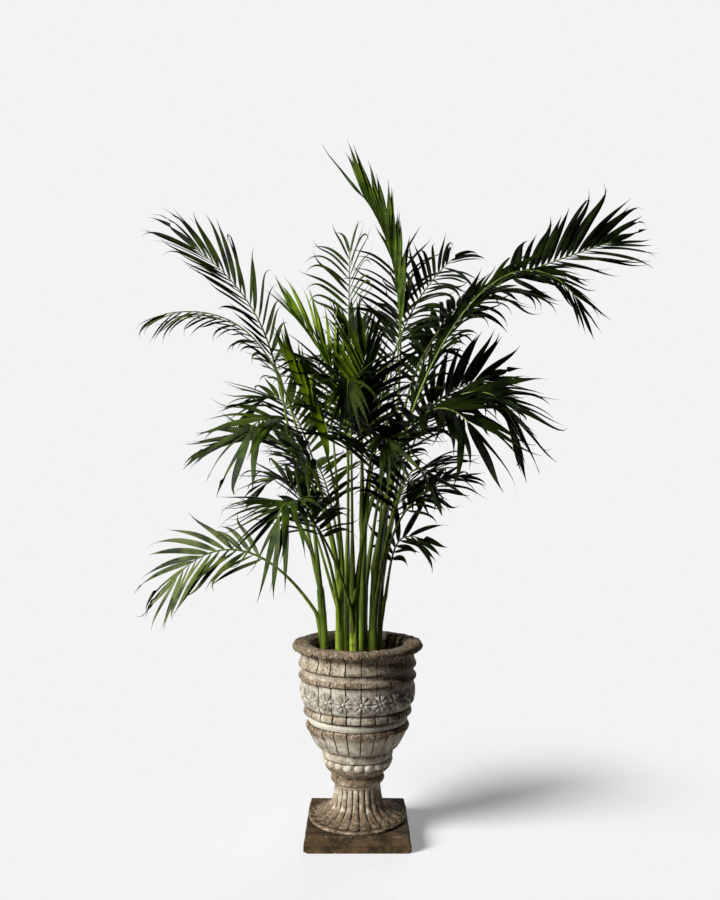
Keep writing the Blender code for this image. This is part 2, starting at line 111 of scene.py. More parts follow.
def smooth(piece, angle=40):
    deselectAll()
    piece.select_set(True)
    bpy.context.view_layer.objects.active = piece
    bpy.ops.object.shade_smooth_by_angle(angle=math.radians(angle))


def faceOut(piece):
    openEdit(piece)
    bpy.ops.mesh.select_all(action="SELECT")
    bpy.ops.mesh.normals_make_consistent(inside=False)
    closeEdit()


def joinAll(name, pieces):
    deselectAll()
    for piece in pieces:
        piece.select_set(True)
    bpy.context.view_layer.objects.active = pieces[0]
    bpy.ops.object.join()
    pieces[0].name = name
    pieces[0].data.name = name
    return pieces[0]


def dress(piece, finish, slotName, *nodes):
    # material, body and the CAD nodes that the piece stands for; the slot's name is not used
    piece.data.materials.clear()
    piece.data.materials.append(finish)
    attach(piece, "root")
    if nodes:
        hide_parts(*nodes)


def cloudTexture(name, scale, depth=2, kind="CLOUDS"):
    texture = bpy.data.textures.new(name, kind)
    texture.noise_scale = scale
    if kind == "CLOUDS":
        texture.noise_depth = depth
    return texture


# node sums: a Wire is a socket that takes part in Python arithmetic

class Wire:
    def __init__(self, finish, socket):
        self.finish = finish
        self.socket = socket

    def sum(self, operation, *values):
        return self.finish.add("ShaderNodeMath", {"operation": operation}, dict(enumerate(values)))

    def __add__(self, other):
        return self.sum("ADD", self, other)

    def __radd__(self, other):
        return self.sum("ADD", other, self)

    def __sub__(self, other):
        return self.sum("SUBTRACT", self, other)

    def __rsub__(self, other):
        return self.sum("SUBTRACT", other, self)

    def __mul__(self, other):
        return self.sum("MULTIPLY", self, other)

    def __rmul__(self, other):
        return self.sum("MULTIPLY", other, self)

    def __pow__(self, other):
        return self.sum("POWER", self, other)


class Finish:
    def __init__(self, name):
        self.material = bpy.data.materials.new(name)
        self.material.use_nodes = True
        self.tree = self.material.node_tree
        self.shader = self.tree.nodes["Principled BSDF"]

    def add(self, kind, settings=None, values=None, out=0):
        node = self.tree.nodes.new(kind)
        for key, value in (settings or {}).items():
            if key == "stops":
                self.fillRamp(node.color_ramp, value)
            else:
                setattr(node, key, value)
        for key, value in (values or {}).items():
            self.feed(node.inputs[key], value)
        return Wire(self, node.outputs[out])

    def fillRamp(self, ramp, stops):
        while len(ramp.elements) < len(stops):
            ramp.elements.new(0.5)
        for element, (place, colour) in zip(ramp.elements, stops):
            element.position = place
            element.color = (*colour, 1)

    def feed(self, socket, value):
        if isinstance(value, Wire):
            self.tree.links.new(value.socket, socket)
        else:
            socket.default_value = value

    def set(self, **values):
        for key, value in values.items():
            self.feed(self.shader.inputs[key.replace("_", " ")], value)

    def place(self, scale=(1, 1, 1)):
        here = self.add("ShaderNodeTexCoord", out=3)
        return self.add("ShaderNodeMapping", None, {"Vector": here, "Scale": scale})

    def noise(self, place, scale, detail=4.0, roughness=0.6):
        return self.add("ShaderNodeTexNoise", None,
                        {"Vector": place, "Scale": scale, "Detail": detail, "Roughness": roughness})

    def step(self, value, low, high):
        return self.add("ShaderNodeMapRange", {"interpolation_type": "SMOOTHSTEP"},
                        {"Value": value, "From Min": low, "From Max": high})

    def blend(self, share, first, second):
        def shade(value):
            return value if isinstance(value, Wire) else (*value, 1)
        node = self.tree.nodes.new("ShaderNodeMix")
        node.data_type = "RGBA"
        for index, value in ((0, share), (6, shade(first)), (7, shade(second))):
            self.feed(node.inputs[index], value)
        return Wire(self, node.outputs[2])

    def height(self, place):
        parts = self.add("ShaderNodeSeparateXYZ", None, {"Vector": place}, out=2)
        return parts

    def attribute(self, name):
        return self.add("ShaderNodeAttribute", {"attribute_name": name}, out=2)

    def relief(self, amount, distance, strength=1.0):
        self.set(Normal=self.add("ShaderNodeBump", None,
                                 {"Height": amount, "Distance": distance, "Strength": strength}))


# camera, light and floor

view = {"place": (0.0076, -2.58, 1.0645), "lens": 34.0, "shift": 0.0339}
lamp = {"key_light": ((-0.80, -0.47, 0.52), 4.9, 24.0), "back_light": ((0.30, 0.95, 0.05), 1.6, 60.0),
        "ambient": 0.018}         # each light: where it comes from, its strength and its spread
backdrop = {"colour": 0.896, "floorGlow": 0.213, "floorAlbedo": 0.80, "bounce": 0.55, "fade": (0.45, 1.45)}


def makeStage():
    bpy.ops.object.camera_add(location=view["place"], rotation=(math.pi / 2, 0, 0))
    camera = bpy.context.object
    camera.name = "camera"
    camera.data.sensor_width = 36
    camera.data.lens = view["lens"]
    camera.data.shift_y = view["shift"]
    bpy.context.scene.camera = camera
    bpy.context.scene.view_settings.view_transform = "Standard"

    for name in ("key_light", "back_light"):
        source, strength, spread = lamp[name]
        aim = Vector(source).to_track_quat("Z", "Y").to_euler()
        bpy.ops.object.light_add(type="SUN", location=Vector(source) * 4, rotation=aim)
        sun = bpy.context.object
        sun.name = name
        sun.data.energy = strength
        sun.data.angle = math.radians(spread)

    world = bpy.data.worlds.new("studio")
    bpy.context.scene.world = world
    world.use_nodes = True
    nodes, links = world.node_tree.nodes, world.node_tree.links
    dim = nodes["Background"]
    dim.inputs["Color"].default_value = (1, 1, 1, 1)
    dim.inputs["Strength"].default_value = lamp["ambient"]
    pale = nodes.new("ShaderNodeBackground")
    pale.inputs["Color"].default_value = (backdrop["colour"],) * 3 + (1,)
    path = nodes.new("ShaderNodeLightPath")
    mixed = nodes.new("ShaderNodeMixShader")
    links.new(path.outputs["Is Camera Ray"], mixed.inputs[0])
    links.new(dim.outputs[0], mixed.inputs[1])
    links.new(pale.outputs[0], mixed.inputs[2])
    links.new(mixed.outputs[0], nodes["World Output"].inputs["Surface"])

    grey, glow = backdrop["floorAlbedo"], backdrop["floorGlow"]
    finish = Finish("bounce_floor")
    finish.set(Base_Color=(grey, grey, grey, 1), Roughness=1.0, Specular_IOR_Level=0.0,
               Emission_Color=(1, 1, 1, 1), Emission_Strength=glow)
    fading = Finish("pale_floor")      # its shadows pale away from the urn, as on a studio's sweep
    away = fading.add("ShaderNodeVectorMath", {"operation": "LENGTH"}, {0: fading.place()}, out=1)
    far = fading.step(away, *backdrop["fade"])
    fading.set(Base_Color=fading.blend(far, (grey,) * 3, (0, 0, 0)), Roughness=1.0, Specular_IOR_Level=0.0,
               Emission_Color=fading.blend(far, (glow,) * 3, (backdrop["colour"],) * 3), Emission_Strength=1.0)
    bpy.ops.mesh.primitive_plane_add(size=60, location=(0, 0, -0.0004))
    floor = fresh("floor")
    bpy.ops.mesh.primitive_circle_add(vertices=96, radius=backdrop["bounce"], location=(0, 0, -0.003),
                                      fill_type="NGON")
    near = fresh("floor_near")         # under the floor, unseen: only this part of it throws light back
    for piece in (floor, near):
        piece.data.materials.append((finish if piece is near else fading).material)
        piece.visible_diffuse = piece is near
        piece.visible_shadow = piece is near
        piece.visible_glossy = False


makeStage()
print("stage ready")


# the urn's stone

stone = {"cream": (0.45, 0.375, 0.262), "grey": (0.275, 0.228, 0.165), "crust": (0.190, 0.122, 0.062),
         "ochre": (0.43, 0.28, 0.14), "dirt": (0.034, 0.022, 0.012), "chalk": (0.71, 0.655, 0.545)}


def makeStone(name, specks=0.6):
    # each vertex says how much brown crust lies on it and how dark it is drawn in its joints, grooves and creases,
    # which is partly dirt and partly painted shade
    finish = Finish(name)
    here = finish.place()
    broad = finish.noise(here, 9.0, 5.0, 0.62)
    patch = finish.noise(here, 30.0, 4.0, 0.65)
    fine = finish.noise(here, 75.0, 6.0, 0.75)
    grit = finish.noise(here, 300.0, 3.0, 0.65)
    colour = finish.blend(finish.step(broad, 0.42, 0.64), stone["cream"], stone["grey"])
    colour = finish.blend(finish.step(patch, 0.50, 0.62) * 0.75, colour, stone["chalk"])
    grime = finish.attribute("grime")
    colour = finish.blend(finish.step(patch * 0.7 + fine * 0.5 - grime, 0.42, 0.92), colour, stone["chalk"])
    crust = finish.blend(finish.step(patch, 0.56, 0.66), stone["crust"], stone["ochre"])
    colour = finish.blend(finish.step(grime + fine * 2.4 + broad * 1.2, 1.92, 2.34) * 0.85, colour, crust)
    colour = finish.blend(finish.step(finish.noise(here, 170.0, 4.0, 0.7), 0.54, 0.62) * specks, colour,
                          stone["chalk"])
    mottle = finish.noise(here, 105.0, 5.0, 0.8)
    colour = finish.blend(finish.step(mottle + grime * 0.10, 0.64, 0.70) * (specks + 0.15), colour, stone["chalk"])
    colour = finish.blend(finish.step(grime * 0.10 - mottle, -0.40, -0.33) * 0.8, colour, stone["dirt"])
    colour = finish.blend(finish.step(finish.noise(here, 130.0, 4.0, 0.7), 0.57, 0.65) * 0.75, colour, stone["dirt"])
    # painted shade, with dirt in the joints: this mark darkens grooves, lines under mouldings, gaps between petals and
    # places where parts meet
    dirt = finish.attribute("dirt")
    colour = finish.blend(finish.step(dirt + fine * 0.5 - 0.25, 0.2, 0.75), colour, stone["dirt"])
    finish.set(Base_Color=colour, Roughness=0.86 + fine * 0.12, Specular_IOR_Level=0.25)
    finish.relief(fine * 0.6 + grit * 0.25 + patch * 0.3, 0.0040, 1.0)
    return finish.material


def spinOutline(name, outline, around):
    # one corner, drawn along the outline point by point, then spun about the axis
    radius, height = outline[0]
    bpy.ops.mesh.primitive_plane_add(size=0.001, location=(radius, 0, height))
    piece = fresh(name)
    openEdit(piece)
    bpy.ops.mesh.select_all(action="SELECT")
    bpy.ops.mesh.merge(type="CENTER")
    for (r0, h0), (r1, h1) in zip(outline, outline[1:]):
        bpy.ops.mesh.extrude_vertices_move(TRANSFORM_OT_translate={"value": (r1 - r0, 0, h1 - h0)})
    bpy.ops.mesh.select_all(action="SELECT")
    bpy.ops.mesh.spin(steps=around, angle=2 * math.pi, center=(0, 0, 0), axis=(0, 0, 1))
    bpy.ops.mesh.select_all(action="SELECT")
    bpy.ops.mesh.remove_doubles(threshold=0.00002)
    bpy.ops.mesh.select_mode(type="EDGE")
    bpy.ops.mesh.select_all(action="DESELECT")
    bpy.ops.mesh.select_non_manifold(extend=False)
    bpy.ops.mesh.edge_face_add()
    bpy.ops.mesh.select_all(action="SELECT")
    bpy.ops.mesh.normals_make_consistent(inside=False)
    closeEdit()
    return piece


def denser(outline, step):
    # more points along a given outline, rounded through its corners
    points = [Vector(p) for p in outline]
    lengths = [0.0]
    for a, b in zip(points, points[1:]):
        lengths.append(lengths[-1] + (b - a).length)
    count = round(lengths[-1] / step)
    at = np.linspace(0, lengths[-1], count)
    found = np.stack([np.interp(at, lengths, [p[i] for p in points]) for i in (0, 1)], axis=1)
    rounded = found.copy()
    rounded[1:-1] = (found[:-2] + 2 * found[1:-1] + found[2:]) / 4
    return [tuple(p) for p in rounded]


def angleOf(point):
    return math.degrees(math.atan2(point[1], point[0]))


def fromJoint(angle, joints, first):
    # how far an angle lies from the nearest joint, in degrees
    pitch = 360 / joints
    return abs((angle - first + pitch / 2) % pitch - pitch / 2)


bowl = {"around": 288, "joints": 24, "firstJoint": -86.25, "grooveDepth": 0.0036, "grooveWidth": 0.0017,
        "opening": 0.1435, "floor": 0.236,
        "bands": ((0.509, 0.566), (0.364, 0.486), (0.263, 0.337)),
        "lines": (0.2335, 0.2615, 0.3395, 0.3610, 0.3885, 0.4720, 0.5065),
        "step": 0.0026}
bowlOutside = [               # radius and height in mm, up the outside from the foot
    (78, 186.8), (82, 188.5), (89, 194), (96, 201), (99.5, 206), (100.5, 210), (101, 214), (101.5, 222),
    (101.5, 230), (101.5, 233), (104.5, 235), (107, 239), (108, 246), (107.5, 252), (105.5, 257.5),  # plain roll
    (105.5, 260.5), (110, 262), (117, 263.5), (120.5, 267), (126, 272.5), (131, 278.5), (136, 287),  # panels
    (139.5, 294), (143, 301.5), (146.5, 309), (149, 314.5), (153.5, 319.5), (156.5, 325), (157.2, 330),
    (155, 334.5), (151, 338), (147, 340), (149, 343), (151.5, 347.5), (152, 352), (151, 357), (147.5, 360),
    (151, 362.5), (158.5, 364), (161.5, 367), (162.2, 372), (161, 378), (159, 384), (157, 387.5),    # bars
    (159.5, 390), (163.5, 394), (166.5, 400), (169, 408), (170.8, 420), (171.5, 432), (171.5, 445),  # flowers
    (171, 456), (171.5, 464), (172.5, 469), (172, 471), (177, 473), (179.8, 477), (178.5, 481.5),
    (174.5, 486), (171, 491), (169.5, 496), (170, 501), (171, 505), (175.5, 507), (179, 511),        # cells
    (179, 516), (176.5, 521.5), (174, 527), (172, 533), (171.5, 539), (173.5, 545), (177.5, 549.5),
    (184, 553.5), (191.5, 556.5), (196.5, 560), (198, 564.5), (198, 569), (196, 574), (192, 577.5),  # lip
    (186, 579.5), (172, 580), (158, 579), (150, 576.5), (145.5, 573)]
bowlGrime = [                 # height in mm and how much crust lies there
    (187, 0.9), (211, 0.8), (214, 0.2), (232, 0.1), (237, 0.05), (257, 0.1), (263, 0.4), (270, 0.05), (305, -0.05),
    (318, 0.3), (330, 0.7), (338, 0.5), (342, -0.5), (350, -0.9), (357, -0.8), (361, 0.3), (370, 0.45), (382, 0.4),
    (389, 0.2), (400, -0.2), (430, -0.2), (462, -0.1), (471, 0.3), (477, 0.6), (486, 0.5), (491, 0.1), (500, 0.1),
    (507, 0.4), (513, 0.4), (524, 0.2), (540, 0.25), (552, 0.5), (562, 0.6), (580, 0.65)]
bowlInside = [(143.5, 568), (140, 552), (136, 535), (131, 505), (122, 430), (107, 330), (82, 262), (60, 238)]


def metres(outline):
    return [(r / 1000, h / 1000) for r, h in outline]


def mark(piece, name, amount):
    # a number on each vertex that the stone's colour reads
    layer = piece.data.attributes.new(name, "FLOAT", "POINT")
    layer.data.foreach_set("value", [amount(v.co) for v in piece.data.vertices])


def grimeAt(point):
    return float(np.interp(point.z * 1000, [z for z, amount in bowlGrime], [amount for z, amount in bowlGrime]))


def grooveJoints(piece, low, high):
    # the upright joints of one band: each is bevelled open and its middle pushed in
    def onJoint(vert):
        near = fromJoint(angleOf(vert.co), bowl["joints"], bowl["firstJoint"]) < 0.05
        return near and low < vert.co.z < high and vert.co.xy.length > bowl["opening"] * 0.62
    openEdit(piece)
    pick(piece, "EDGE", lambda edge: all(onJoint(v) and outwards(v) for v in edge.verts))
    bpy.ops.mesh.bevel(offset=bowl["grooveWidth"], offset_type="OFFSET", segments=2, profile=0.5, affect="EDGES")
    pick(piece, "VERT", lambda vert: onJoint(vert) and outwards(vert))
    bpy.ops.transform.shrink_fatten(value=-bowl["grooveDepth"])
    closeEdit()


def outwards(vert):
    # on the bowl's outside, where the normal points away from the axis
    return vert.normal.xy.dot(vert.co.xy) > 0


def makeBowl():
    outline = denser(metres(bowlOutside), bowl["step"]) + denser(metres(bowlInside), 0.012)
    piece = spinOutline("bowl", outline, bowl["around"])
    for low, high in bowl["bands"]:
        grooveJoints(piece, low, high)
    group = piece.vertex_groups.new(name="worn")
    for vert in piece.data.vertices:
        outside = vert.normal.xy.dot(vert.co.xy) > -0.001 or vert.co.z > 0.55
        lip = min(max((vert.co.z - 0.53) / 0.02, 0), 1)
        group.add([vert.index], (0.35 + 0.65 * lip) if outside else 0.0, "REPLACE")
    applyModifier(piece, "DISPLACE", texture=cloudTexture("chips", 0.016, 3), strength=0.0058, mid_level=0.62,
                  vertex_group="worn", texture_coords="LOCAL")
    applyModifier(piece, "DISPLACE", texture=cloudTexture("pits", 0.0055, 2), strength=0.0042, mid_level=0.60,
                  vertex_group="worn", texture_coords="LOCAL")
    applyModifier(piece, "DISPLACE", texture=cloudTexture("dents", 0.045, 2), strength=0.0040, mid_level=0.55,
                  vertex_group="worn", texture_coords="LOCAL")

    def dirt(point):
        near = fromJoint(angleOf(point), bowl["joints"], bowl["firstJoint"]) * math.radians(1) * point.xy.length
        grooved = any(low - 0.002 < point.z < high + 0.002 for low, high in bowl["bands"])
        # dark joints in the grooved bands: dirt and painted shade in the grooves
        amount = max(0.0, 1 - near / 0.0028) if grooved else 0.0
        # painted shade: a dark line under each moulding
        for line in bowl["lines"]:
            amount = max(amount, 0.95 - abs(point.z - line) / 0.0030)
        rise = abs(point.z - flower["height"])
        if rise < 0.036:               # painted shade between the flowers' petals
            aside = fromJoint(angleOf(point), flower["count"], flower["first"]) * math.radians(1) * point.xy.length
            amount = max(amount, 0.44 * min(1.0, (0.034 - math.hypot(aside, rise)) / 0.006))
        # darker on the inside wall below the rim
        if point.z < 0.562 and point.xy.length < bowl["opening"] + 0.004 - (0.56 - point.z) * 0.2:
            amount = max(amount, 0.55)
        return amount
    mark(piece, "dirt", dirt)
    mark(piece, "grime", grimeAt)
    smooth(piece, 50)
    dress(piece, makeStone("bowl_stone"), "stone", "urn_bowl")


flower = {"count": 20, "first": -85.7, "height": 0.4265, "petals": 8, "petalLength": 0.0225,
          "petalWidth": 0.0074, "relief": 0.0062, "heart": 0.0052}
makeBowl()
print("bowl ready")


# things laid on the bowl's outside: flowers, bars, arches, beads

outsideAt = sorted((h, r) for r, h in metres(bowlOutside))


def bowlRadius(height):
    return float(np.interp(height, [h for h, r in outsideAt], [r for h, r in outsideAt]))


def layOn(template, angle, height, lift=0.0, turn=0.0):
    # a copy with its own mesh, bent onto the bowl: x runs round it, y up it, z out of it
    copy = template.copy()
    copy.data = template.data.copy()
    bpy.context.collection.objects.link(copy)
    cos, sin = math.cos(turn), math.sin(turn)
    for vert in copy.data.vertices:
        x, y, z = vert.co
        x, y = x * cos - y * sin, x * sin + y * cos
        level = height + y
        radius = bowlRadius(level)
        around = math.radians(angle) + x / radius
        radius += z + lift
        vert.co = (radius * math.cos(around), radius * math.sin(around), level)
    return copy


def layRow(name, template, count, first, height, lift=0.0, turns=(0.0,)):
    copies = [layOn(template, first + 360 * i / count, height, lift, turn) for i in range(count) for turn in turns]
    bpy.data.objects.remove(template)
    return joinAll(name, copies)


def makeFlowers():
    petals = []
    for i in range(flower["petals"]):
        turn = 2 * math.pi * (i + 0.5) / flower["petals"]
        for side in (-1, 1):
            away = flower["heart"] + flower["petalLength"] / 2
            lean = turn + side * 0.10
            bpy.ops.mesh.primitive_uv_sphere_add(segments=8, ring_count=8, radius=0.5)
            petal = bpy.context.object
            petal.scale = (flower["petalWidth"] * 0.52, flower["petalLength"], flower["relief"] * 1.5)
            petal.rotation_euler = (0, 0, lean - math.pi / 2)
            offset = side * flower["petalWidth"] * 0.27
            petal.location = (math.cos(turn) * away - math.sin(turn) * offset,
                              math.sin(turn) * away + math.cos(turn) * offset, 0)
            petals.append(fresh("petal"))
    bpy.ops.mesh.primitive_uv_sphere_add(segments=12, ring_count=8, radius=flower["heart"])
    heart = fresh("heart")
    openEdit(heart)
    bpy.ops.mesh.select_all(action="SELECT")
    bpy.ops.transform.resize(value=(1, 1, 0.75))
    closeEdit()
    template = joinAll("flower", petals + [heart])
    row = layRow("flowers", template, flower["count"], flower["first"], flower["height"], -0.0008)
    applyModifier(row, "DISPLACE", texture=cloudTexture("petal_wear", 0.010, 2), strength=0.0026, mid_level=0.55,
                  texture_coords="LOCAL")
    # painted shade where the flowers' petals meet the bowl
    mark(row, "dirt", lambda point: max(0.0, 0.42 - (point.xy.length - bowlRadius(point.z)) / 0.0070))
    smooth(row, 60)
    return row


bars = {"height": 0.3760, "tall": 0.0170, "deep": 0.0022, "share": 0.90}


def makeBars():
    wide = 2 * math.pi * bowlRadius(bars["height"]) / bowl["joints"] * bars["share"]
    bpy.ops.mesh.primitive_cube_add(size=1)
    template = bpy.context.object
    template.scale = (wide, bars["tall"], bars["deep"] * 2)
    template = fresh("bar")
    openEdit(template)
    bpy.ops.mesh.select_all(action="SELECT")
    bpy.ops.mesh.bevel(offset=0.0016, segments=2, affect="EDGES")
    closeEdit()
    applyModifier(template, "SUBSURF", levels=2, render_levels=2, subdivision_type="SIMPLE")
    row = layRow("bars", template, bowl["joints"], bowl["firstJoint"] + 180 / bowl["joints"], bars["height"])
    applyModifier(row, "DISPLACE", texture=cloudTexture("bar_wear", 0.008, 2), strength=0.0022, mid_level=0.6,
                  texture_coords="LOCAL")
    mark(row, "dirt", lambda point: 0.0)
    smooth(row, 50)
    return row


arch = {"height": 0.2660, "radius": 0.0130, "thick": 0.0020}


def makeArches():
    # the shallow arch at the foot of each panel: half a ring, flattened
    bpy.ops.mesh.primitive_torus_add(major_radius=arch["radius"], minor_radius=arch["thick"], major_segments=20,
                                     minor_segments=8)
    template = fresh("arch")
    openEdit(template)
    bpy.ops.mesh.select_all(action="SELECT")
    bpy.ops.mesh.bisect(plane_co=(0, 0, 0), plane_no=(0, 1, 0), clear_inner=True, use_fill=True)
    bpy.ops.mesh.select_all(action="SELECT")
    bpy.ops.transform.resize(value=(1, 0.45, 1), center_override=(0, 0, 0))
    closeEdit()
    first = bowl["firstJoint"] + 180 / bowl["joints"]
    row = layRow("arches", template, bowl["joints"], first, arch["height"], 0.0002)
    mark(row, "dirt", lambda point: 0.35)
    smooth(row, 60)
    return row


beads = {"count": 20, "first": -88.0, "height": 0.2225, "radius": 0.0130, "stand": 0.1028}


def makeBeads():
    made = []
    for i in range(beads["count"]):
        angle = math.radians(beads["first"] + 360 * i / beads["count"])
        bpy.ops.mesh.primitive_uv_sphere_add(segments=20, ring_count=12, radius=beads["radius"])
        bead = bpy.context.object
        bead.scale = (0.72, 1.10, 0.86)
        bead.rotation_euler = (0, 0, angle)
        bead.location = (math.cos(angle) * beads["stand"] * 0.95, math.sin(angle) * beads["stand"] * 0.95,
                         beads["height"])
        made.append(fresh("bead"))
    row = joinAll("beads", made)
    applyModifier(row, "DISPLACE", texture=cloudTexture("bead_wear", 0.009, 2), strength=0.0026, mid_level=0.55,
                  texture_coords="LOCAL")
    mark(row, "dirt", lambda point: 0.0)
    smooth(row, 60)
    return row


def makeTrim():
    trim = joinAll("bowl_trim", [makeFlowers(), makeBars(), makeArches(), makeBeads()])
    mark(trim, "grime", lambda point: grimeAt(point) - 0.3)
    dress(trim, makeStone("trim_stone"), "stone")


makeTrim()
print("trim ready")


# the foot and the plinth

foot = {"around": 288, "flutes": 24, "firstGroove": -86.25, "depth": 0.0085, "top": 0.146, "bottom": 0.0575,
        "lines": (0.1805, 0.1575, 0.1490, 0.0570)}
footOutline = [               # radius and height in mm, down from the bowl
    (76, 186), (77.5, 183), (75.5, 180.5), (78.5, 178), (81, 173), (81.3, 167), (79.5, 161), (75, 158.5),
    (70.5, 157), (71.5, 155), (72, 152), (70, 149.5), (69.5, 146), (70, 140), (70.5, 134), (71.5, 128),
    (72.5, 120), (74, 110), (76, 101), (80, 91.5), (85, 84), (92, 77.5), (101, 71.5), (112, 66), (125, 61.5),
    (136, 58.5), (140.5, 56.6), (142, 55.8), (145.5, 55.4), (147, 53.5), (147, 49), (145.5, 47.5)]


def makeFoot():
    outline = denser(metres(footOutline), 0.0030)
    piece = spinOutline("foot", outline, foot["around"])
    for vert in piece.data.vertices:
        point = vert.co
        if not foot["bottom"] - 0.0015 < point.z < foot["top"] + 0.004:
            continue
        away = fromJoint(angleOf(point), foot["flutes"], foot["firstGroove"]) / (180 / foot["flutes"])
        rise = (point.z - foot["bottom"]) / (foot["top"] - foot["bottom"])
        fade = min(1.0, max(0.0, (1.06 - rise) / 0.10))
        sunk = foot["depth"] * (1 - 0.30 * rise) * fade * (1 - math.sqrt(max(0.0, 1 - (1 - away) ** 2)))
        point.xy = point.xy * (1 - sunk / point.xy.length)
        if point.xy.length > 0.125:
            point.z -= sunk * 0.5
    applyModifier(piece, "DISPLACE", texture=cloudTexture("foot_chips", 0.016, 3), strength=0.0030, mid_level=0.58,
                  texture_coords="LOCAL")

    def dirt(point):
        away = fromJoint(angleOf(point), foot["flutes"], foot["firstGroove"]) * math.radians(1) * point.xy.length
        amount = 0.0
        # painted shade down the middle of each flute's groove
        if foot["bottom"] - 0.002 < point.z < foot["top"]:
            amount = max(0.0, 1 - away / 0.0042) * 0.66
        # painted shade: a dark line at each of the foot's moulding edges
        for line in foot["lines"]:
            amount = max(amount, 0.8 - abs(point.z - line) / 0.0035)
        return amount
    mark(piece, "dirt", dirt)
    mark(piece, "grime", lambda point: float(np.interp(point.z, (0.05, 0.065, 0.09, 0.14, 0.158, 0.165, 0.176, 0.18),
                                                       (1.0, 0.85, 0.38, 0.10, 0.25, 0.35, 0.8, 0.9))))
    smooth(piece, 60)
    dress(piece, makeStone("foot_stone", 0.2), "stone", "urn_foot")


makeFoot()

plinth = {"top": 0.296, "wide": 0.311, "skirt": 0.018, "tall": 0.047, "cell": 0.005,
          "chips": ((-1, -1, 0.013), (1, -1, 0.010), (1, 1, 0.008), (-1, 1, 0.011))}   # side, side, size


def makePlinth():
    bpy.ops.mesh.primitive_cube_add(size=1, location=(0, 0, plinth["skirt"] / 2))
    block = bpy.context.object
    block.scale = (plinth["wide"], plinth["wide"], plinth["skirt"])
    block = fresh("plinth")
    openEdit(block)
    pick(block, "FACE", lambda face: face.normal.z > 0.9)
    bpy.ops.mesh.extrude_region_move(TRANSFORM_OT_translate={"value": (0, 0, plinth["tall"] - plinth["skirt"])})
    share = plinth["top"] / plinth["wide"]
    bpy.ops.transform.resize(value=(share, share, 1), center_override=(0, 0, plinth["tall"]))
    pick(block, "EDGE", lambda edge: abs(edge.verts[0].co.z - edge.verts[1].co.z) > 0.001)
    bpy.ops.mesh.bevel(offset=0.004, segments=2, affect="EDGES")
    pick(block, "EDGE", lambda edge: all(v.co.z > plinth["tall"] - 0.001 for v in edge.verts))
    bpy.ops.mesh.bevel(offset=0.0022, segments=2, affect="EDGES")
    half = plinth["wide"] / 2
    for sideX, sideY, size in plinth["chips"]:
        bpy.ops.mesh.select_all(action="SELECT")
        bpy.ops.mesh.bisect(plane_co=(sideX * half, sideY * half, size), plane_no=(sideX, sideY, -1),
                            use_fill=True, clear_outer=True)
    closeEdit()
    cuts = round(plinth["wide"] / plinth["cell"])
    openEdit(block)
    for axis in (0, 1):
        for i in range(1, cuts):
            place = Vector((0, 0, 0))
            place[axis] = -half + plinth["wide"] * i / cuts
            way = Vector((0, 0, 0))
            way[axis] = 1
            bpy.ops.mesh.select_all(action="SELECT")
            bpy.ops.mesh.bisect(plane_co=place, plane_no=way)
    for height in np.arange(0.0045, plinth["tall"] - 0.003, 0.0045):
        bpy.ops.mesh.select_all(action="SELECT")
        bpy.ops.mesh.bisect(plane_co=(0, 0, height), plane_no=(0, 0, 1))
    closeEdit()
    group = block.vertex_groups.new(name="worn")
    for vert in block.data.vertices:
        inside = abs(vert.co.z) > 0.0005
        group.add([vert.index], 1.0 if inside else 0.0, "REPLACE")
    applyModifier(block, "DISPLACE", texture=cloudTexture("plinth_chips", 0.022, 3), strength=0.0034,
                  mid_level=0.75, vertex_group="worn", texture_coords="LOCAL")

    def dirt(point):
        # painted shade: a dark ring where the foot stands on the plinth and a dark line along the skirt's step
        under = math.hypot(point.x, point.y)
        amount = 0.9 - abs(under - 0.1495) / 0.004 if point.z > 0.04 else 0.0
        return max(amount, 0.6 - abs(point.z - plinth["skirt"]) / 0.002, 0.0)
    def edge(point):
        reach = max(abs(point.x), abs(point.y))
        wear = 1 - abs(reach - plinth["top"] / 2) / 0.0045 if point.z > plinth["tall"] - 0.006 else 0.0
        return max(wear, 0.7 - point.z / 0.008 if reach > 0.14 else 0.0, 0.0)
    mark(block, "dirt", dirt)
    mark(block, "edge", edge)
    smooth(block, 50)
    dress(block, makeMoss(), "mossy_stone", "urn_plinth")


moss = {"dark": (0.032, 0.021, 0.010), "brown": (0.105, 0.064, 0.030), "ochre": (0.23, 0.125, 0.042),
        "olive": (0.075, 0.060, 0.024), "pale": (0.34, 0.27, 0.18)}


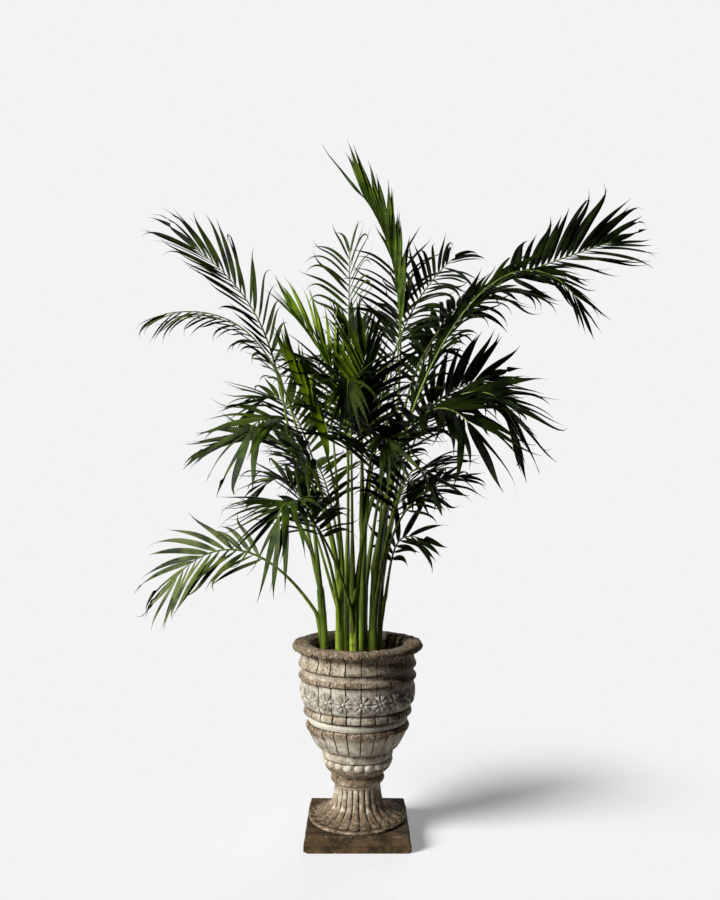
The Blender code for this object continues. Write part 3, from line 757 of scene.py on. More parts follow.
def makeMoss():
    finish = Finish("plinth_moss")
    here = finish.place()
    broad = finish.noise(here, 22.0, 5.0, 0.65)
    fine = finish.noise(here, 70.0, 6.0, 0.7)
    colour = finish.blend(finish.step(broad, 0.38, 0.62), moss["dark"], moss["brown"])
    colour = finish.blend(finish.step(finish.noise(here, 30.0, 4.0, 0.6), 0.55, 0.70) * 0.7, colour, moss["olive"])
    colour = finish.blend(finish.step(fine, 0.60, 0.72) * 0.75, colour, moss["ochre"])
    colour = finish.blend(finish.step(finish.noise(here, 90.0, 3.0, 0.5), 0.68, 0.76) * 0.8, colour, moss["pale"])
    grain = finish.noise(finish.place((1, 1, 5)), 60.0, 5.0, 0.75)
    colour = finish.blend(finish.step(grain, 0.54, 0.64) * 0.75, colour, moss["dark"])
    colour = finish.blend(finish.step(grain * -1.0, -0.42, -0.34) * 0.6, colour, moss["ochre"])
    colour = finish.blend(finish.step(finish.attribute("edge") * 0.16 + fine, 0.64, 0.76) * 0.8, colour, moss["pale"])
    # painted shade at the foot's contact ring and the skirt's step
    colour = finish.blend(finish.attribute("dirt") * 0.8, colour, (0.02, 0.015, 0.01))
    finish.set(Base_Color=colour, Roughness=0.92, Specular_IOR_Level=0.25)
    finish.relief(fine * 0.6 + broad * 0.4 + grain * 0.5, 0.0045, 0.9)
    return finish.material


makePlinth()
print("foot and plinth ready")


# the soil

soil = {"radius": 0.1305, "top": 0.505, "floor": 0.300, "rough": 0.010, "crumbs": 420,
        "dark": (0.020, 0.013, 0.008), "bark": (0.085, 0.045, 0.022)}


def makeSoil():
    bpy.ops.mesh.primitive_circle_add(vertices=64, radius=soil["radius"], fill_type="TRIFAN",
                                      location=(0, 0, soil["top"] - soil["rough"]))
    bed = fresh("soil_bed")
    openEdit(bed)
    bpy.ops.mesh.select_all(action="SELECT")
    bpy.ops.mesh.subdivide(number_cuts=10)
    pick(bed, "FACE", lambda face: True)
    bpy.ops.mesh.extrude_region_move(TRANSFORM_OT_translate={"value": (0, 0, -0.02)})
    closeEdit()
    faceOut(bed)
    group = bed.vertex_groups.new(name="top")
    for vert in bed.data.vertices:
        rim = min(1.0, (soil["radius"] - vert.co.xy.length) / 0.01)
        group.add([vert.index], rim if vert.co.z > soil["top"] - soil["rough"] - 0.001 else 0.0, "REPLACE")
    applyModifier(bed, "DISPLACE", texture=cloudTexture("crumble", 0.012, 3), strength=soil["rough"] * 1.2,
                  mid_level=0.3, direction="Z", vertex_group="top", texture_coords="LOCAL")
    bpy.ops.mesh.primitive_ico_sphere_add(subdivisions=1, radius=1)
    crumb = bpy.context.object
    draw = random.Random(5)
    crumbs = []
    for i in range(soil["crumbs"]):
        copy = crumb.copy()
        copy.data = crumb.data.copy()
        bpy.context.collection.objects.link(copy)
        away = soil["radius"] * 0.95 * math.sqrt(draw.random())
        turn = draw.uniform(0, 2 * math.pi)
        size = draw.uniform(0.0015, 0.0045)
        spin = Matrix.Rotation(draw.uniform(0, 6), 3, "Z") @ Matrix.Rotation(draw.uniform(-0.5, 0.5), 3, "X")
        place = Vector((away * math.cos(turn), away * math.sin(turn), soil["top"] - draw.uniform(0.001, 0.006)))
        shape = Vector((draw.uniform(1, 2.4), draw.uniform(0.7, 1.2), draw.uniform(0.3, 0.7))) * size
        for vert in copy.data.vertices:
            vert.co = spin @ Vector(a * b for a, b in zip(vert.co, shape)) + place
        crumbs.append(copy)
    bpy.data.objects.remove(crumb)
    bed = joinAll("soil_bed", [bed] + crumbs)
    smooth(bed, 40)
    finish = Finish("potting_mix")
    here = finish.place()
    fine = finish.noise(here, 160.0, 5.0, 0.7)
    colour = finish.blend(finish.step(finish.noise(here, 60.0, 4.0, 0.6), 0.52, 0.66), soil["dark"], soil["bark"])
    finish.set(Base_Color=colour, Roughness=0.95, Specular_IOR_Level=0.2)
    finish.relief(fine, 0.002, 0.9)
    dress(bed, finish.material, "soil", "soil")


makeSoil()
print("soil ready")


# the palm: the same canes and fronds as in the part's source, carried to finer leaflets

canes = {                     # foot x and y, top x, y and z, radius
    "a": (-0.100, 0.004, -0.112, 0.002, 0.730, 0.0125),
    "b": (-0.053, -0.022, -0.052, -0.020, 0.770, 0.0130),
    "c": (-0.036, 0.032, -0.036, 0.038, 0.720, 0.0120),
    "d": (-0.010, -0.048, -0.008, -0.050, 0.735, 0.0135),
    "e": (0.013, -0.004, 0.018, -0.004, 0.930, 0.0120),
    "f": (0.018, 0.044, 0.022, 0.050, 0.760, 0.0120),
    "g": (0.045, -0.022, 0.054, -0.026, 0.800, 0.0130),
    "h": (0.062, 0.026, 0.071, 0.030, 0.770, 0.0125),
    "i": (-0.047, 0.080, -0.050, 0.092, 0.740, 0.0120),
    "j": (0.060, 0.084, 0.066, 0.098, 0.750, 0.0120),
}
frondWords = ("cane", "partsAt", "heading", "reach", "height", "lean", "pitch", "rise", "run", "twist", "blade",
              "leaf", "hang", "open", "raised", "tone", "closing", "first", "last")
frondUsual = {"closing": 0.66, "first": 0.84, "last": 0.62}
frondRows = {
    "left_low": ("a", 0.665, 190, 0.42, 0.775, 33, -50, 0.67, 0.36, 46, 0.56, 0.228, 0.80, 48, 2, "pale", 0.60, 0.84, 0.80),
    "left_fan": ("d", 0.690, 233, 0.315, 0.960, 22, -80, 0.64, 0.30, -6, 0.50, 0.235, 1.00, 52, 8, "mid", 0.20, 0.80, 1.00),
    "left_mid": ("b", 0, 184, 0.340, 1.190, 12, -16, 0.64, 0.36, 22, 0.48, 0.21, 0.60, 42, 2, "mid", 0.50, 0.80, 0.80),
    "left_near": ("b", 0, 222, 0.325, 1.195, 8, -56, 0.60, 0.36, 20, 0.48, 0.21, 1.00, 48, 0, "mid", 0.20, 0.80, 1.00),
    "left_arch": ("a", 0, 178, 0.475, 1.573, 5, -10, 0.57, 0.36, 0, 0.42, 0.165, 0.90, 46, -18, "pale", 0.50, 0.80, 0.85),
    "left_high": ("a", 0, 172, 0.40, 1.790, 14, 38, 0.58, 0.36, 65, 0.40, 0.215, 0.45, 34, 30, "mid", 0.50, 0.50, 0.95),
    "left_bright": ("b", 0, 228, 0.200, 1.375, 1, 60, 0.56, 0.28, 50, 0.44, 0.205, 0.15, 24, 24, "bright", 0.50, 0.90, 0.85),
    "left_upright": ("c", 0, 182, 0.140, 1.560, -3, 54, 0.70, 0.26, 60, 0.46, 0.215, 0.15, 24, 46, "fresh", 0.50, 0.95, 0.75),
    "mid_tall": ("c", 0, 84, 0.050, 1.790, 3, 84, 0.60, 0.30, 18, 0.22, 0.18, 1.50, 40, 30, "mid", 0.50, 0.90, 0.60),
    "crest": ("g", 0, 182, 0.034, 1.922, -11, 50, 0.55, 0.20, 15, 0.36, 0.205, 0.10, 12, 58, "fresh", -0.30, 0.82, 0.95),
    "mid_back": ("f", 0, 20, 0.100, 1.745, 9, 96, 0.60, 0.30, -60, 0.26, 0.21, 1.30, 46, 20, "deep", 0.40, 0.90, 0.70),
    "mid_dark": ("f", 0, 128, 0.060, 1.520, 2, 74, 0.56, 0.32, 20, 0.42, 0.200, 0.35, 34, 20, "mid", 0.50, 0.85, 0.80),
    "right_arm": ("h", 0, -4, 0.692, 1.782, 5, 18, 0.66, 0.46, -60, 0.235, 0.255, 0.40, 56, 14, "deep", 0.66, 0.55, 0.62),
    "right_high": ("e", 0, -3, 0.270, 1.735, 5, 42, 0.50, 0.26, -50, 0.36, 0.19, 1.50, 50, 14, "deep", 0.20, 0.90, 0.60),
    "right_hang": ("g", 0, -14, 0.585, 1.578, 7, -55, 0.66, 0.36, -30, 0.62, 0.19, 0.90, 34, 6, "deep", -0.20, 0.80, 0.80),
    "right_bright": ("e", 0, -84, 0.080, 1.440, 2, 70, 0.56, 0.32, -20, 0.30, 0.200, 0.20, 30, 16, "fresh", 0.50, 0.90, 0.85),
    "right_back": ("h", 0, 14, 0.46, 1.680, 12, 2, 0.54, 0.36, -20, 0.46, 0.22, 1.00, 52, 4, "deep", 0.40, 0.90, 0.80),
    "right_mid": ("g", 0, -2, 0.335, 1.375, 9, 16, 0.58, 0.36, -66, 0.27, 0.200, 0.30, 50, 14, "deep", 0.66, 0.80, 0.65),
    "right_droop": ("e", 0, -26, 0.45, 1.252, 14, -64, 0.58, 0.34, -25, 0.46, 0.22, 0.75, 30, 4, "deep", 0.20, 0.80, 1.00),
    "right_near": ("d", 0, -45, 0.42, 1.215, 6, -44, 0.62, 0.34, -10, 0.52, 0.25, 1.10, 52, 10, "deep", 0.20, 0.80, 1.00),
    "right_low": ("g", 0.770, 6, 0.24, 1.080, 10, 16, 0.50, 0.36, -20, 0.50, 0.17, 0.90, 58, 4, "deep"),
    "right_foot": ("h", 0.710, -20, 0.105, 0.892, 8, -12, 0.80, 0.34, -50, 0.56, 0.17, 0.90, 60, 10, "deep"),
    "near_top": ("d", 0, -92, 0.31, 1.290, 7, -52, 0.62, 0.36, 0, 0.46, 0.25, 0.85, 50, 14, "mid"),
    "near_mid": ("e", 0.85, -78, 0.30, 1.15, 12, -52, 0.55, 0.36, 8, 0.48, 0.24, 0.85, 50, 14, "mid"),
    "near_left": ("b", 0.700, 245, 0.305, 0.968, 14, -78, 0.55, 0.32, -4, 0.50, 0.225, 1.00, 52, 8, "mid", 0.20, 0.80, 1.00),
    "near_right": ("g", 0.740, -58, 0.26, 1.070, 14, -46, 0.52, 0.36, 0, 0.50, 0.23, 0.85, 50, 14, "deep"),
    "far_left": ("i", 0, 118, 0.36, 1.470, 8, -20, 0.58, 0.36, 10, 0.44, 0.22, 0.70, 50, 8, "mid"),
    "far_right": ("j", 0, 64, 0.38, 1.570, 8, -20, 0.58, 0.36, -10, 0.44, 0.24, 0.70, 50, 14, "deep"),
    "far_mid": ("f", 0, 94, 0.44, 1.310, 10, -45, 0.58, 0.36, 0, 0.46, 0.25, 0.80, 50, 14, "mid"),
    "far_wide_left": ("i", 0, 150, 0.35, 1.300, 12, -42, 0.56, 0.36, 20, 0.46, 0.22, 0.80, 50, 14, "mid"),
    "far_wide_right": ("j", 0, 32, 0.38, 1.310, 12, -44, 0.56, 0.36, -20, 0.46, 0.23, 0.80, 50, 14, "deep"),
    "far_low": ("c", 0, 115, 0.34, 1.09, 14, -48, 0.50, 0.36, 0, 0.50, 0.23, 0.80, 50, 14, "mid"),
    "far_low_right": ("j", 0.690, 62, 0.28, 1.030, 16, -46, 0.50, 0.36, 0, 0.50, 0.22, 0.80, 50, 14, "deep"),
    "far_low_left": ("i", 0.680, 166, 0.24, 1.050, 18, -40, 0.50, 0.36, 15, 0.50, 0.20, 0.80, 50, 14, "mid"),
}
frondTable = {name: {**frondUsual, **dict(zip(frondWords, row))} for name, row in frondRows.items()}
growth = {"petiole": 0.0060, "ribEnd": 0.0013, "topSpread": 0.52, "pairsPerMetre": 32, "firstPairs": 3,
          "leafWidth": 0.0205, "longest": 0.45, "roll": 24, "fold": 26, "clear": 0.0012,
          "sheath": 0.18, "buried": 0.05,
          "crowded": {"right_hang": 1.35, "right_back": 1.5, "right_high": 1.35, "right_arm": 1.3, "far_mid": 1.6,
                      "far_low": 1.6, "near_mid": 1.5, "mid_dark": 1.65, "left_mid": 1.25, "left_near": 1.25,
                      "far_wide_left": 1.4, "far_left": 1.3, "near_left": 1.45, "far_low_left": 1.4,
                      "right_near": 1.35, "right_mid": 1.35, "right_droop": 1.45, "near_top": 1.6},
          # tones that override the table's: dark for fronds drawn in painted shade, bright for a frond drawn in painted
          # light
          "tones": {"near_top": "dark", "left_upright": "bright", "left_high": "dark", "left_mid": "dark",
                    "mid_back": "dark", "far_mid": "dark"},
          "widths": {"left_arch": 0.6, "mid_tall": 0.65, "right_high": 0.75, "mid_back": 0.7,
                     "right_near": 1.35, "right_droop": 1.3, "left_mid": 1.1, "left_near": 1.15, "left_fan": 1.1,
                     "right_mid": 1.15, "near_left": 0.85, "near_top": 0.8, "near_mid": 0.9, "right_arm": 1.15},
          "sideSheath": ((0.120, 0.20, 0.0090), (0.080, 0.42, 0.0095), (0.045, 0.80, 0.0088), (0.018, 1.15, 0.0072))}


def caneCentre(cane, height):
    footX, footY, topX, topY, topZ, radius = canes[cane]
    part = (height - soil["top"]) / (topZ - soil["top"])
    ease = part * part * (1.6 - 0.6 * part)
    return Vector((footX + (topX - footX) * ease, footY + (topY - footY) * ease, height))


def caneRadius(cane, height):
    topZ, radius = canes[cane][4:]
    part = (height - soil["top"]) / (topZ - soil["top"])
    return radius * (1.08 - 0.16 * part)


def planTops():
    # where petioles stand on each cane's top, in the order of their headings
    places = {}
    for cane in canes:
        tops = [name for name, frond in frondTable.items() if frond["cane"] == cane and not frond["partsAt"]]
        tops.sort(key=lambda name: frondTable[name]["heading"] % 360)
        count = len(tops)
        spread = caneRadius(cane, canes[cane][4]) * growth["topSpread"] if count > 1 else 0
        slots = [frondTable[name]["heading"] % 360 - 360 * i / count for i, name in enumerate(tops)]
        for i, name in enumerate(tops):
            turn = math.radians(sum(slots) / count + 360 * i / count)
            places[name] = Vector((math.cos(turn), math.sin(turn), 0)) * spread
    return places


def headingOf(frond):
    angle = math.radians(frond["heading"])
    return Vector((math.cos(angle), math.sin(angle), 0)), Vector((math.sin(angle), -math.cos(angle), 0))


def footOf(name, places):
    frond = frondTable[name]
    if name in places:
        return Vector(canes[frond["cane"]][2:5]) + places[name]
    out, side = headingOf(frond)
    away = caneRadius(frond["cane"], frond["partsAt"]) + growth["clear"] + growth["petiole"]
    return caneCentre(frond["cane"], frond["partsAt"]) + out * away


class Rib:
    # a frond's rib: a cubic curve in the upright plane of its heading, read by length
    def __init__(self, name, places):
        frond = frondTable[name]
        self.name, self.frond = name, frond
        foot = footOf(name, places)
        self.foot = foot
        out, self.side = headingOf(frond)
        lean, pitch = math.radians(frond["lean"]), math.radians(frond["pitch"])
        end = foot + out * frond["reach"]
        end.z = frond["height"]
        span = (end - foot).length
        self.startWay = out * math.sin(lean) + up * math.cos(lean)
        endWay = out * math.cos(pitch) + up * math.sin(pitch)
        near = foot + self.startWay * span * frond["rise"]
        far = end - endWay * span * frond["run"]
        self.points = []
        self.lengths = [0.0]
        for i in range(97):
            t = i / 96
            u = 1 - t
            self.points.append(foot * u**3 + near * 3 * u * u * t + far * 3 * u * t * t + end * t**3)
        for a, b in zip(self.points, self.points[1:]):
            self.lengths.append(self.lengths[-1] + (b - a).length)
        self.length = self.lengths[-1]
        self.bladeStart = self.length * (1 - frond["blade"])

    def at(self, length):
        length = min(max(length, 0.0), self.length)
        i = min(int(np.searchsorted(self.lengths, length)), len(self.lengths) - 1)
        i = max(i, 1)
        part = (length - self.lengths[i - 1]) / (self.lengths[i] - self.lengths[i - 1])
        a, b = self.points[i - 1], self.points[i]
        return a.lerp(b, part), (b - a).normalized()

    def around(self, length):
        # point, along, to the blade's right, and up off the blade
        point, along = self.at(length)
        over = self.side.cross(along)
        settle = min(1.0, length / max(self.bladeStart, 0.01))
        angle = math.radians(self.frond["twist"]) * settle * settle * (3 - 2 * settle)
        side = self.side * math.cos(angle) + over * math.sin(angle)
        return point, along, side, side.cross(along)

    def radius(self, length):
        part = max(0.0, length / self.length)
        return growth["petiole"] + (growth["ribEnd"] - growth["petiole"]) * part ** 0.8


def makeLeafTemplate():
    # one leaflet, flat, a unit long and wide: a grid whose rows are drawn in to a whip tip
    bpy.ops.mesh.primitive_grid_add(x_subdivisions=2, y_subdivisions=13, size=1, location=(0, 0.5, 0))
    leaf = fresh("leaflet")
    rows = sorted({round(v.co.y, 4) for v in leaf.data.vertices})
    openEdit(leaf)
    for row in rows:
        pick(leaf, "VERT", lambda v: abs(v.co.y - row) < 0.001)
        share = max(0.03, leafShare(row))
        bpy.ops.transform.resize(value=(share, 1, 1), center_override=(0, row, 0))
    closeEdit()
    across = np.array([v.co.x * 2 for v in leaf.data.vertices])
    along = np.array([v.co.y for v in leaf.data.vertices])
    faces = [tuple(p.vertices) for p in leaf.data.polygons]
    bpy.data.objects.remove(leaf)
    return across, along, faces


def leafShare(part):
    # the leaflet's width along its length, as a share of the widest
    return float(np.interp(part, (0, 0.04, 0.12, 0.26, 0.42, 0.60, 0.74, 0.85, 0.93, 1),
                           (0.22, 0.42, 0.80, 1.0, 0.98, 0.82, 0.56, 0.27, 0.10, 0.02)))


def lengthShare(frond, part):
    # leaflets lengthen from the foot of the blade, then shorten again towards its tip
    longest = growth["longest"]
    if part < longest:
        return frond["first"] + (1 - frond["first"]) * (part / longest) ** 1.5
    return 1 - (1 - frond["last"]) * ((part - longest) / (1 - longest)) ** 2


def leafLine(rib, start, part, hand, draw, last):
    # a leaflet's own settings: where it leaves the rib, which way, how long and how wide
    frond = rib.frond
    point, along, side, over = rib.around(start)
    openAngle = frond["open"] * (1 - frond["closing"] * part * part) + draw.uniform(-5, 5)
    raised = frond["raised"] + 8 * math.sin(math.pi * part) + draw.uniform(-7, 7)
    if last:
        openAngle, raised = 10, 6
    openAngle, raised = math.radians(openAngle), math.radians(raised)
    out = side * hand * math.cos(raised) + over * math.sin(raised)
    way = (along * math.cos(openAngle) + out * math.sin(openAngle)).normalized()
    length = frond["leaf"] * lengthShare(frond, part) * draw.uniform(0.90, 1.05)
    swell = math.sin(math.pi * (0.22 + 0.70 * part))
    width = growth["leafWidth"] * (0.70 + 0.30 * swell) * draw.uniform(0.85, 1.1) * (1.35 if last else 1)
    width *= growth["widths"].get(rib.name, 1.0)
    return point, along, over, way, length, width


def bendLeaf(template, line, hang, draw):
    # the template's points laid along a line that falls under its own weight towards its tip
    across, along, faces = template
    point, ribWay, over, way, length, width = line
    hang = hang * draw.uniform(0.7, 1.25) * draw.choice((1, 1, 1, 1, 0.6, 1.7))
    roll = math.radians(growth["roll"] + draw.uniform(-14, 14))
    curl = draw.uniform(-0.10, 0.16)
    loose = 0.4 + 0.6 * hang           # limp leaflets curl at their tips, stiff ones hardly
    tipRise, tipTurn = draw.uniform(-0.9, 1.4) * loose, draw.uniform(-1.2, 1.2) * loose
    fold = math.radians(growth["fold"] + draw.uniform(-8, 8))
    wind = math.radians(draw.uniform(-30, 30))
    first = (way - up * 0.18 * hang).normalized()
    steps = 14
    levels = np.linspace(0, 1, steps)
    centre = point.copy()
    centres, sides, faces3 = [], [], []
    for i, t in enumerate(levels):
        fall = t * t * (0.30 + hang) * 1.05
        late = max(0.0, (t - 0.62) / 0.38) ** 2
        heading = (first - up * (fall * 0.62 - tipRise * late) + ribWay * (curl * t + tipTurn * late)).normalized()
        if i:
            centre = centre + heading * length / (steps - 1)
        flat = (ribWay - heading * ribWay.dot(heading)).normalized()
        normal = flat.cross(heading)
        if normal.dot(over) < 0:
            normal = -normal
        turn = roll + wind * t * t
        sides.append(flat * math.cos(turn) - normal * math.sin(turn))
        faces3.append(flat * math.sin(turn) + normal * math.cos(turn))
        centres.append(centre.copy())
    centres, sides, faces3 = np.array(centres), np.array(sides), np.array(faces3)

    def read(rows):
        return np.stack([np.interp(along, levels, rows[:, k]) for k in range(3)], axis=1)
    spread = (across * width / 2)[:, None]
    return read(centres) + read(sides) * spread * math.cos(fold) - read(faces3) * abs(spread) * math.sin(fold)


def fitLeaf(template, line, hang, seed):
    # a leaflet that would reach past the CAD's box is made shorter
    low, high = np.array(cadBox[0]) + 0.001, np.array(cadBox[1]) - 0.001
    point, along, over, way, length, width = line
    for i in range(12):
        points = bendLeaf(template, (point, along, over, way, length, width), hang, random.Random(seed))
        if (points > low).all() and (points < high).all():
            break
        length *= 0.93
    return points


def buildFoliage():
    places = planTops()
    template = makeLeafTemplate()
    across, along, faces = template
    groups = {}
    ribs = []
    for seed, name in enumerate(frondTable):
        draw = random.Random(seed + 100)
        rib = Rib(name, places)
        ribs.append(rib)
        frond = rib.frond
        blade = rib.length - rib.bladeStart - 0.008
        pairs = round(growth["firstPairs"] + growth["pairsPerMetre"] * rib.length * frond["blade"])
        pairs = round(pairs * growth["crowded"].get(name, 1.0))
        tone = growth["tones"].get(name, frond["tone"])
        group = groups.setdefault(tone, {"points": [], "uv": [], "nodes": []})
        group["nodes"].append("frond_" + name)
        for i in range(pairs):
            part = i / (pairs - 1)
            last = i == pairs - 1
            for hand in (-1, 1):
                start = rib.bladeStart + blade * min(1.0, (i + 0.1 + 0.35 * (hand > 0)) / (pairs - 0.7)) ** 0.94
                line = leafLine(rib, start, part, hand, draw, last)
                group["points"].append(fitLeaf(template, line, frond["hang"], draw.random()))
    for tone, group in groups.items():
        count = len(group["points"])
        points = np.concatenate(group["points"])
        size = len(across)
        allFaces = [tuple(k * size + v for v in face) for k in range(count) for face in faces]
        mesh = bpy.data.meshes.new("leaflets_" + tone)
        mesh.from_pydata(points.tolist(), [], allFaces)
        layer = mesh.uv_layers.new(name="leaf")
        loops = np.array([loop.vertex_index % size for loop in mesh.loops])
        share = across[loops] / np.maximum(0.05, np.array([leafShare(t) for t in along[loops]]))
        layer.data.foreach_set("uv", np.stack([share * 0.5 + 0.5, along[loops]], axis=1).ravel())
        mesh.shade_smooth()
        piece = bpy.data.objects.new("leaflets_" + tone, mesh)
        bpy.context.collection.objects.link(piece)
        dress(piece, makeLeaf(tone), "leaf_green", *group["nodes"])
        print("leaflets", tone, count, "of", len(allFaces), "faces")
    return ribs


# the greens paint light and shade onto whole fronds: deep and dark for fronds in shade on the right and inside the
# crown, pale for sheen and bright for lit fronds on the left
tones = {                     # two greens and how much the leaflets shine
    "deep": ((0.002, 0.004, 0.0003), (0.012, 0.021, 0.001), 0.08),
    "dark": ((0.006, 0.012, 0.0006), (0.033, 0.055, 0.002), 0.20),
    "mid": ((0.012, 0.025, 0.001), (0.058, 0.100, 0.003), 0.26),
    "pale": ((0.018, 0.034, 0.003), (0.140, 0.180, 0.038), 0.32),
    "fresh": ((0.040, 0.078, 0.002), (0.120, 0.200, 0.005), 0.26),
    "bright": ((0.110, 0.200, 0.003), (0.260, 0.410, 0.009), 0.28)}


def makeLeaf(tone):
    low, high, shine = tones[tone]
    finish = Finish("leaf_" + tone)
    here = finish.place()
    drift = finish.noise(here, 16.0, 2.0, 0.5)
    colour = finish.blend(finish.step(drift, 0.38, 0.62), low, high)
    uv = finish.add("ShaderNodeUVMap", {"uv_map": "leaf"})
    across = finish.add("ShaderNodeSeparateXYZ", None, {"Vector": uv}, out=0)
    veins = finish.add("ShaderNodeMath", {"operation": "SINE"}, {0: across * 75.0})
    finish.set(Base_Color=colour, Roughness=0.40 + drift * 0.16, Specular_IOR_Level=shine)
    finish.relief(veins, 0.0004, 0.5)
    return finish.material


ribs = buildFoliage()
print("leaflets ready")


def makeRibs(ribs):
    # petioles and rachises as curves with their own radius at each point, made a mesh
    data = bpy.data.curves.new("ribs", "CURVE")
    data.dimensions = "3D"
    data.bevel_depth = 1.0
    data.bevel_resolution = 3
    data.use_fill_caps = True
    for rib in ribs:
        onTop = not rib.frond["partsAt"]
        cane = rib.frond["cane"]
        wide = caneRadius(cane, canes[cane][4])
        points = []
        if onTop:
            for back in (growth["buried"], growth["buried"] / 2):
                height = rib.foot.z - back
                points.append((caneCentre(cane, height) * 0.45 + (rib.foot - up * back) * 0.55, wide * 0.80))
        else:
            for drop, away, radius in growth["sideSheath"]:
                height = rib.foot.z - drop
                centre = caneCentre(cane, height)
                outward = (rib.foot - centre)
                outward.z = 0
                points.append((centre + outward.normalized() * caneRadius(cane, height) * away, radius))
        count = 34
        for i in range(count):
            length = rib.length * i / (count - 1)
            point = rib.at(length)[0]
            radius = rib.radius(length)
            if onTop:
                radius = max(radius, wide * 0.78 * (1 - (length / growth["sheath"])) + radius * (length / growth["sheath"]))
            points.append((point, radius))
        spline = data.splines.new("POLY")
        spline.points.add(len(points) - 1)
        for spot, (point, radius) in zip(spline.points, points):
            spot.co = (*point, 1)
            spot.radius = radius
    piece = bpy.data.objects.new("ribs", data)
    bpy.context.collection.objects.link(piece)
    deselectAll()
    piece.select_set(True)
    bpy.context.view_layer.objects.active = piece
    bpy.ops.object.convert(target="MESH")
    piece = bpy.context.object
    smooth(piece, 60)
    # the ribs take a fixed share of the painted lit green
    mark(piece, "young", lambda point: 0.35)
    dress(piece, makeStem("rib_green"), "leaf_green")
    return piece


stem = {"shade": (0.026, 0.046, 0.004), "green": (0.125, 0.205, 0.011), "lit": (0.31, 0.43, 0.030),
        "yellow": (0.36, 0.41, 0.060), "scar": (0.080, 0.045, 0.016)}
# painted light and shade by cane: the front cane d drawn fully lit, the canes at the right and back drawn shaded
paintedLitByCane = {"a": 0.15, "b": 0.55, "c": 0.5, "d": 1.0, "e": 0.1, "f": 0.15, "g": 0.15, "h": 0.0, "i": 0.3, "j": 0.0}


def makeStem(name):
    # each vertex says how much of the lit green its stem takes: painted light on some canes, painted shade on others
    finish = Finish(name)
    here = finish.place((1, 1, 0.18))
    drift = finish.step(finish.noise(here, 22.0, 3.0, 0.5), 0.35, 0.62)
    streak = finish.noise(finish.place((1, 1, 0.03)), 150.0, 3.0, 0.5)
    painted_shaded = finish.blend(drift, stem["shade"], stem["green"])
    young = finish.blend(drift, stem["green"], stem["lit"])
    # painted light and shade: each stem's mark blends its shaded green into its lit green
    colour = finish.blend(finish.attribute("young"), painted_shaded, young)
    colour = finish.blend(finish.step(streak, 0.54, 0.68) * 0.5, colour, stem["yellow"])
    colour = finish.blend(finish.step(streak * -1.0, -0.46, -0.36) * 0.6, colour, stem["shade"])
    scar = finish.noise(finish.place((1, 1, 0.45)), 42.0, 4.0, 0.6)
    colour = finish.blend(finish.step(scar, 0.60, 0.68) * 0.8, colour, stem["scar"])
    finish.set(Base_Color=colour, Roughness=0.38 + streak * 0.15, Specular_IOR_Level=0.5)
    finish.relief(streak, 0.0008, 0.5)
    return finish.material


makeRibs(ribs)
print("ribs ready")

caneLook = {"sides": 24, "step": 0.009, "rings": (0.36, 0.72), "ringHigh": 0.0010, "cap": 0.020}


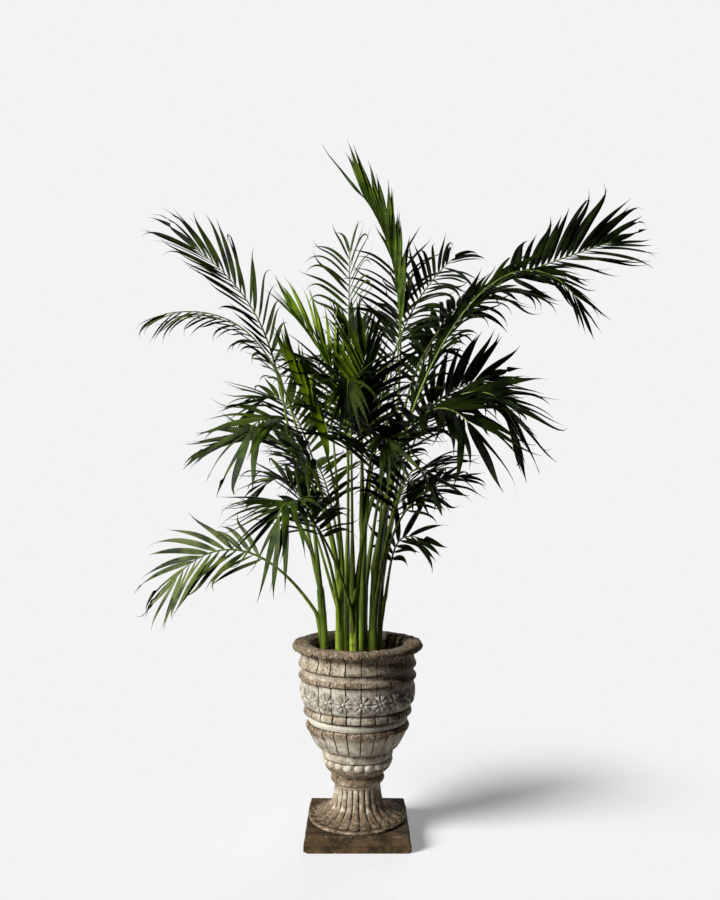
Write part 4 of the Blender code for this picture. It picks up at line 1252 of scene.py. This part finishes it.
def makeCanes():
    made = []
    for number, cane in enumerate(canes):
        topZ = canes[cane][4]
        low = soil["top"] - 0.006
        levels = [low + (topZ - low) * i / 28 for i in range(29)]
        start = caneCentre(cane, low)
        bpy.ops.mesh.primitive_circle_add(vertices=caneLook["sides"], radius=caneRadius(cane, low), location=start,
                                          fill_type="NGON")
        piece = fresh("cane")
        openEdit(piece)
        bpy.ops.mesh.select_all(action="SELECT")
        place, size = start, caneRadius(cane, low)
        for level in levels[1:] + [topZ + caneLook["cap"] * 0.5, topZ + caneLook["cap"]]:
            centre = caneCentre(cane, min(level, topZ))
            centre.z = level
            part = (level - low) / (topZ - low)
            radius = caneRadius(cane, min(level, topZ))
            for ring in caneLook["rings"]:
                lap = part - ring - 0.05 * (number % 3)
                radius += caneLook["ringHigh"] * (1 if -0.12 < lap < 0 else 0) * (1 + lap / 0.12)
            if level > topZ:
                radius *= 0.78 if level < topZ + caneLook["cap"] * 0.7 else 0.40
            bpy.ops.mesh.extrude_region_move(TRANSFORM_OT_translate={"value": centre - place})
            bpy.ops.transform.resize(value=(radius / size, radius / size, 1), center_override=centre)
            place, size = centre, radius
        bpy.ops.mesh.select_all(action="SELECT")
        bpy.ops.mesh.normals_make_consistent(inside=False)
        closeEdit()
        # each cane's share of painted light, from the table above
        mark(piece, "young", lambda point: paintedLitByCane[cane])
        made.append(piece)
    piece = joinAll("cane_stems", made)
    smooth(piece, 60)
    dress(piece, makeStem("cane_skin"), "cane_green", *["cane_" + name for name in canes])


makeCanes()
print("canes ready")

husk = {"perCane": 6, "wide": 0.015, "tall": (0.042, 0.070), "ragged": 0.25, "thick": 0.0007, "flare": 0.006,
        "buried": 0.008, "dark": (0.050, 0.018, 0.008), "dry": (0.250, 0.100, 0.042)}


def makeHusks():
    # dry scraps of old sheaths around the feet of the canes
    bpy.ops.mesh.primitive_grid_add(x_subdivisions=3, y_subdivisions=5, size=1)
    scrap = bpy.context.object
    draw = random.Random(11)
    made = []
    for cane in canes:
        radius = caneRadius(cane, soil["top"])
        for i in range(husk["perCane"]):
            copy = scrap.copy()
            copy.data = scrap.data.copy()
            bpy.context.collection.objects.link(copy)
            turn = draw.uniform(0, 2 * math.pi)
            tall = draw.uniform(*husk["tall"])
            flare = draw.uniform(0.2, 1.0) * husk["flare"]
            for vert in copy.data.vertices:
                part = vert.co.y + 0.5
                drop = draw.uniform(0, husk["ragged"]) if part > 0.9 else 0.0
                height = soil["top"] - husk["buried"] + tall * (part - drop)
                centre = caneCentre(cane, max(height, soil["top"]))
                away = radius + husk["thick"] + flare * part ** 2
                angle = turn + vert.co.x * husk["wide"] * (1 - 0.75 * part ** 2) / away
                vert.co = (centre.x + away * math.cos(angle), centre.y + away * math.sin(angle), height)
            made.append(copy)
    bpy.data.objects.remove(scrap)
    piece = joinAll("husks", made)
    applyModifier(piece, "SOLIDIFY", thickness=husk["thick"], offset=0)
    faceOut(piece)
    smooth(piece, 60)
    finish = Finish("dry_husk")
    fibre = finish.noise(finish.place((1, 1, 0.15)), 160.0, 4.0, 0.6)
    colour = finish.blend(finish.step(fibre, 0.42, 0.60), husk["dark"], husk["dry"])
    finish.set(Base_Color=colour, Roughness=0.85, Specular_IOR_Level=0.2)
    finish.relief(fibre, 0.0006, 0.7)
    dress(piece, finish.material, "soil")


makeHusks()
print("husks ready")
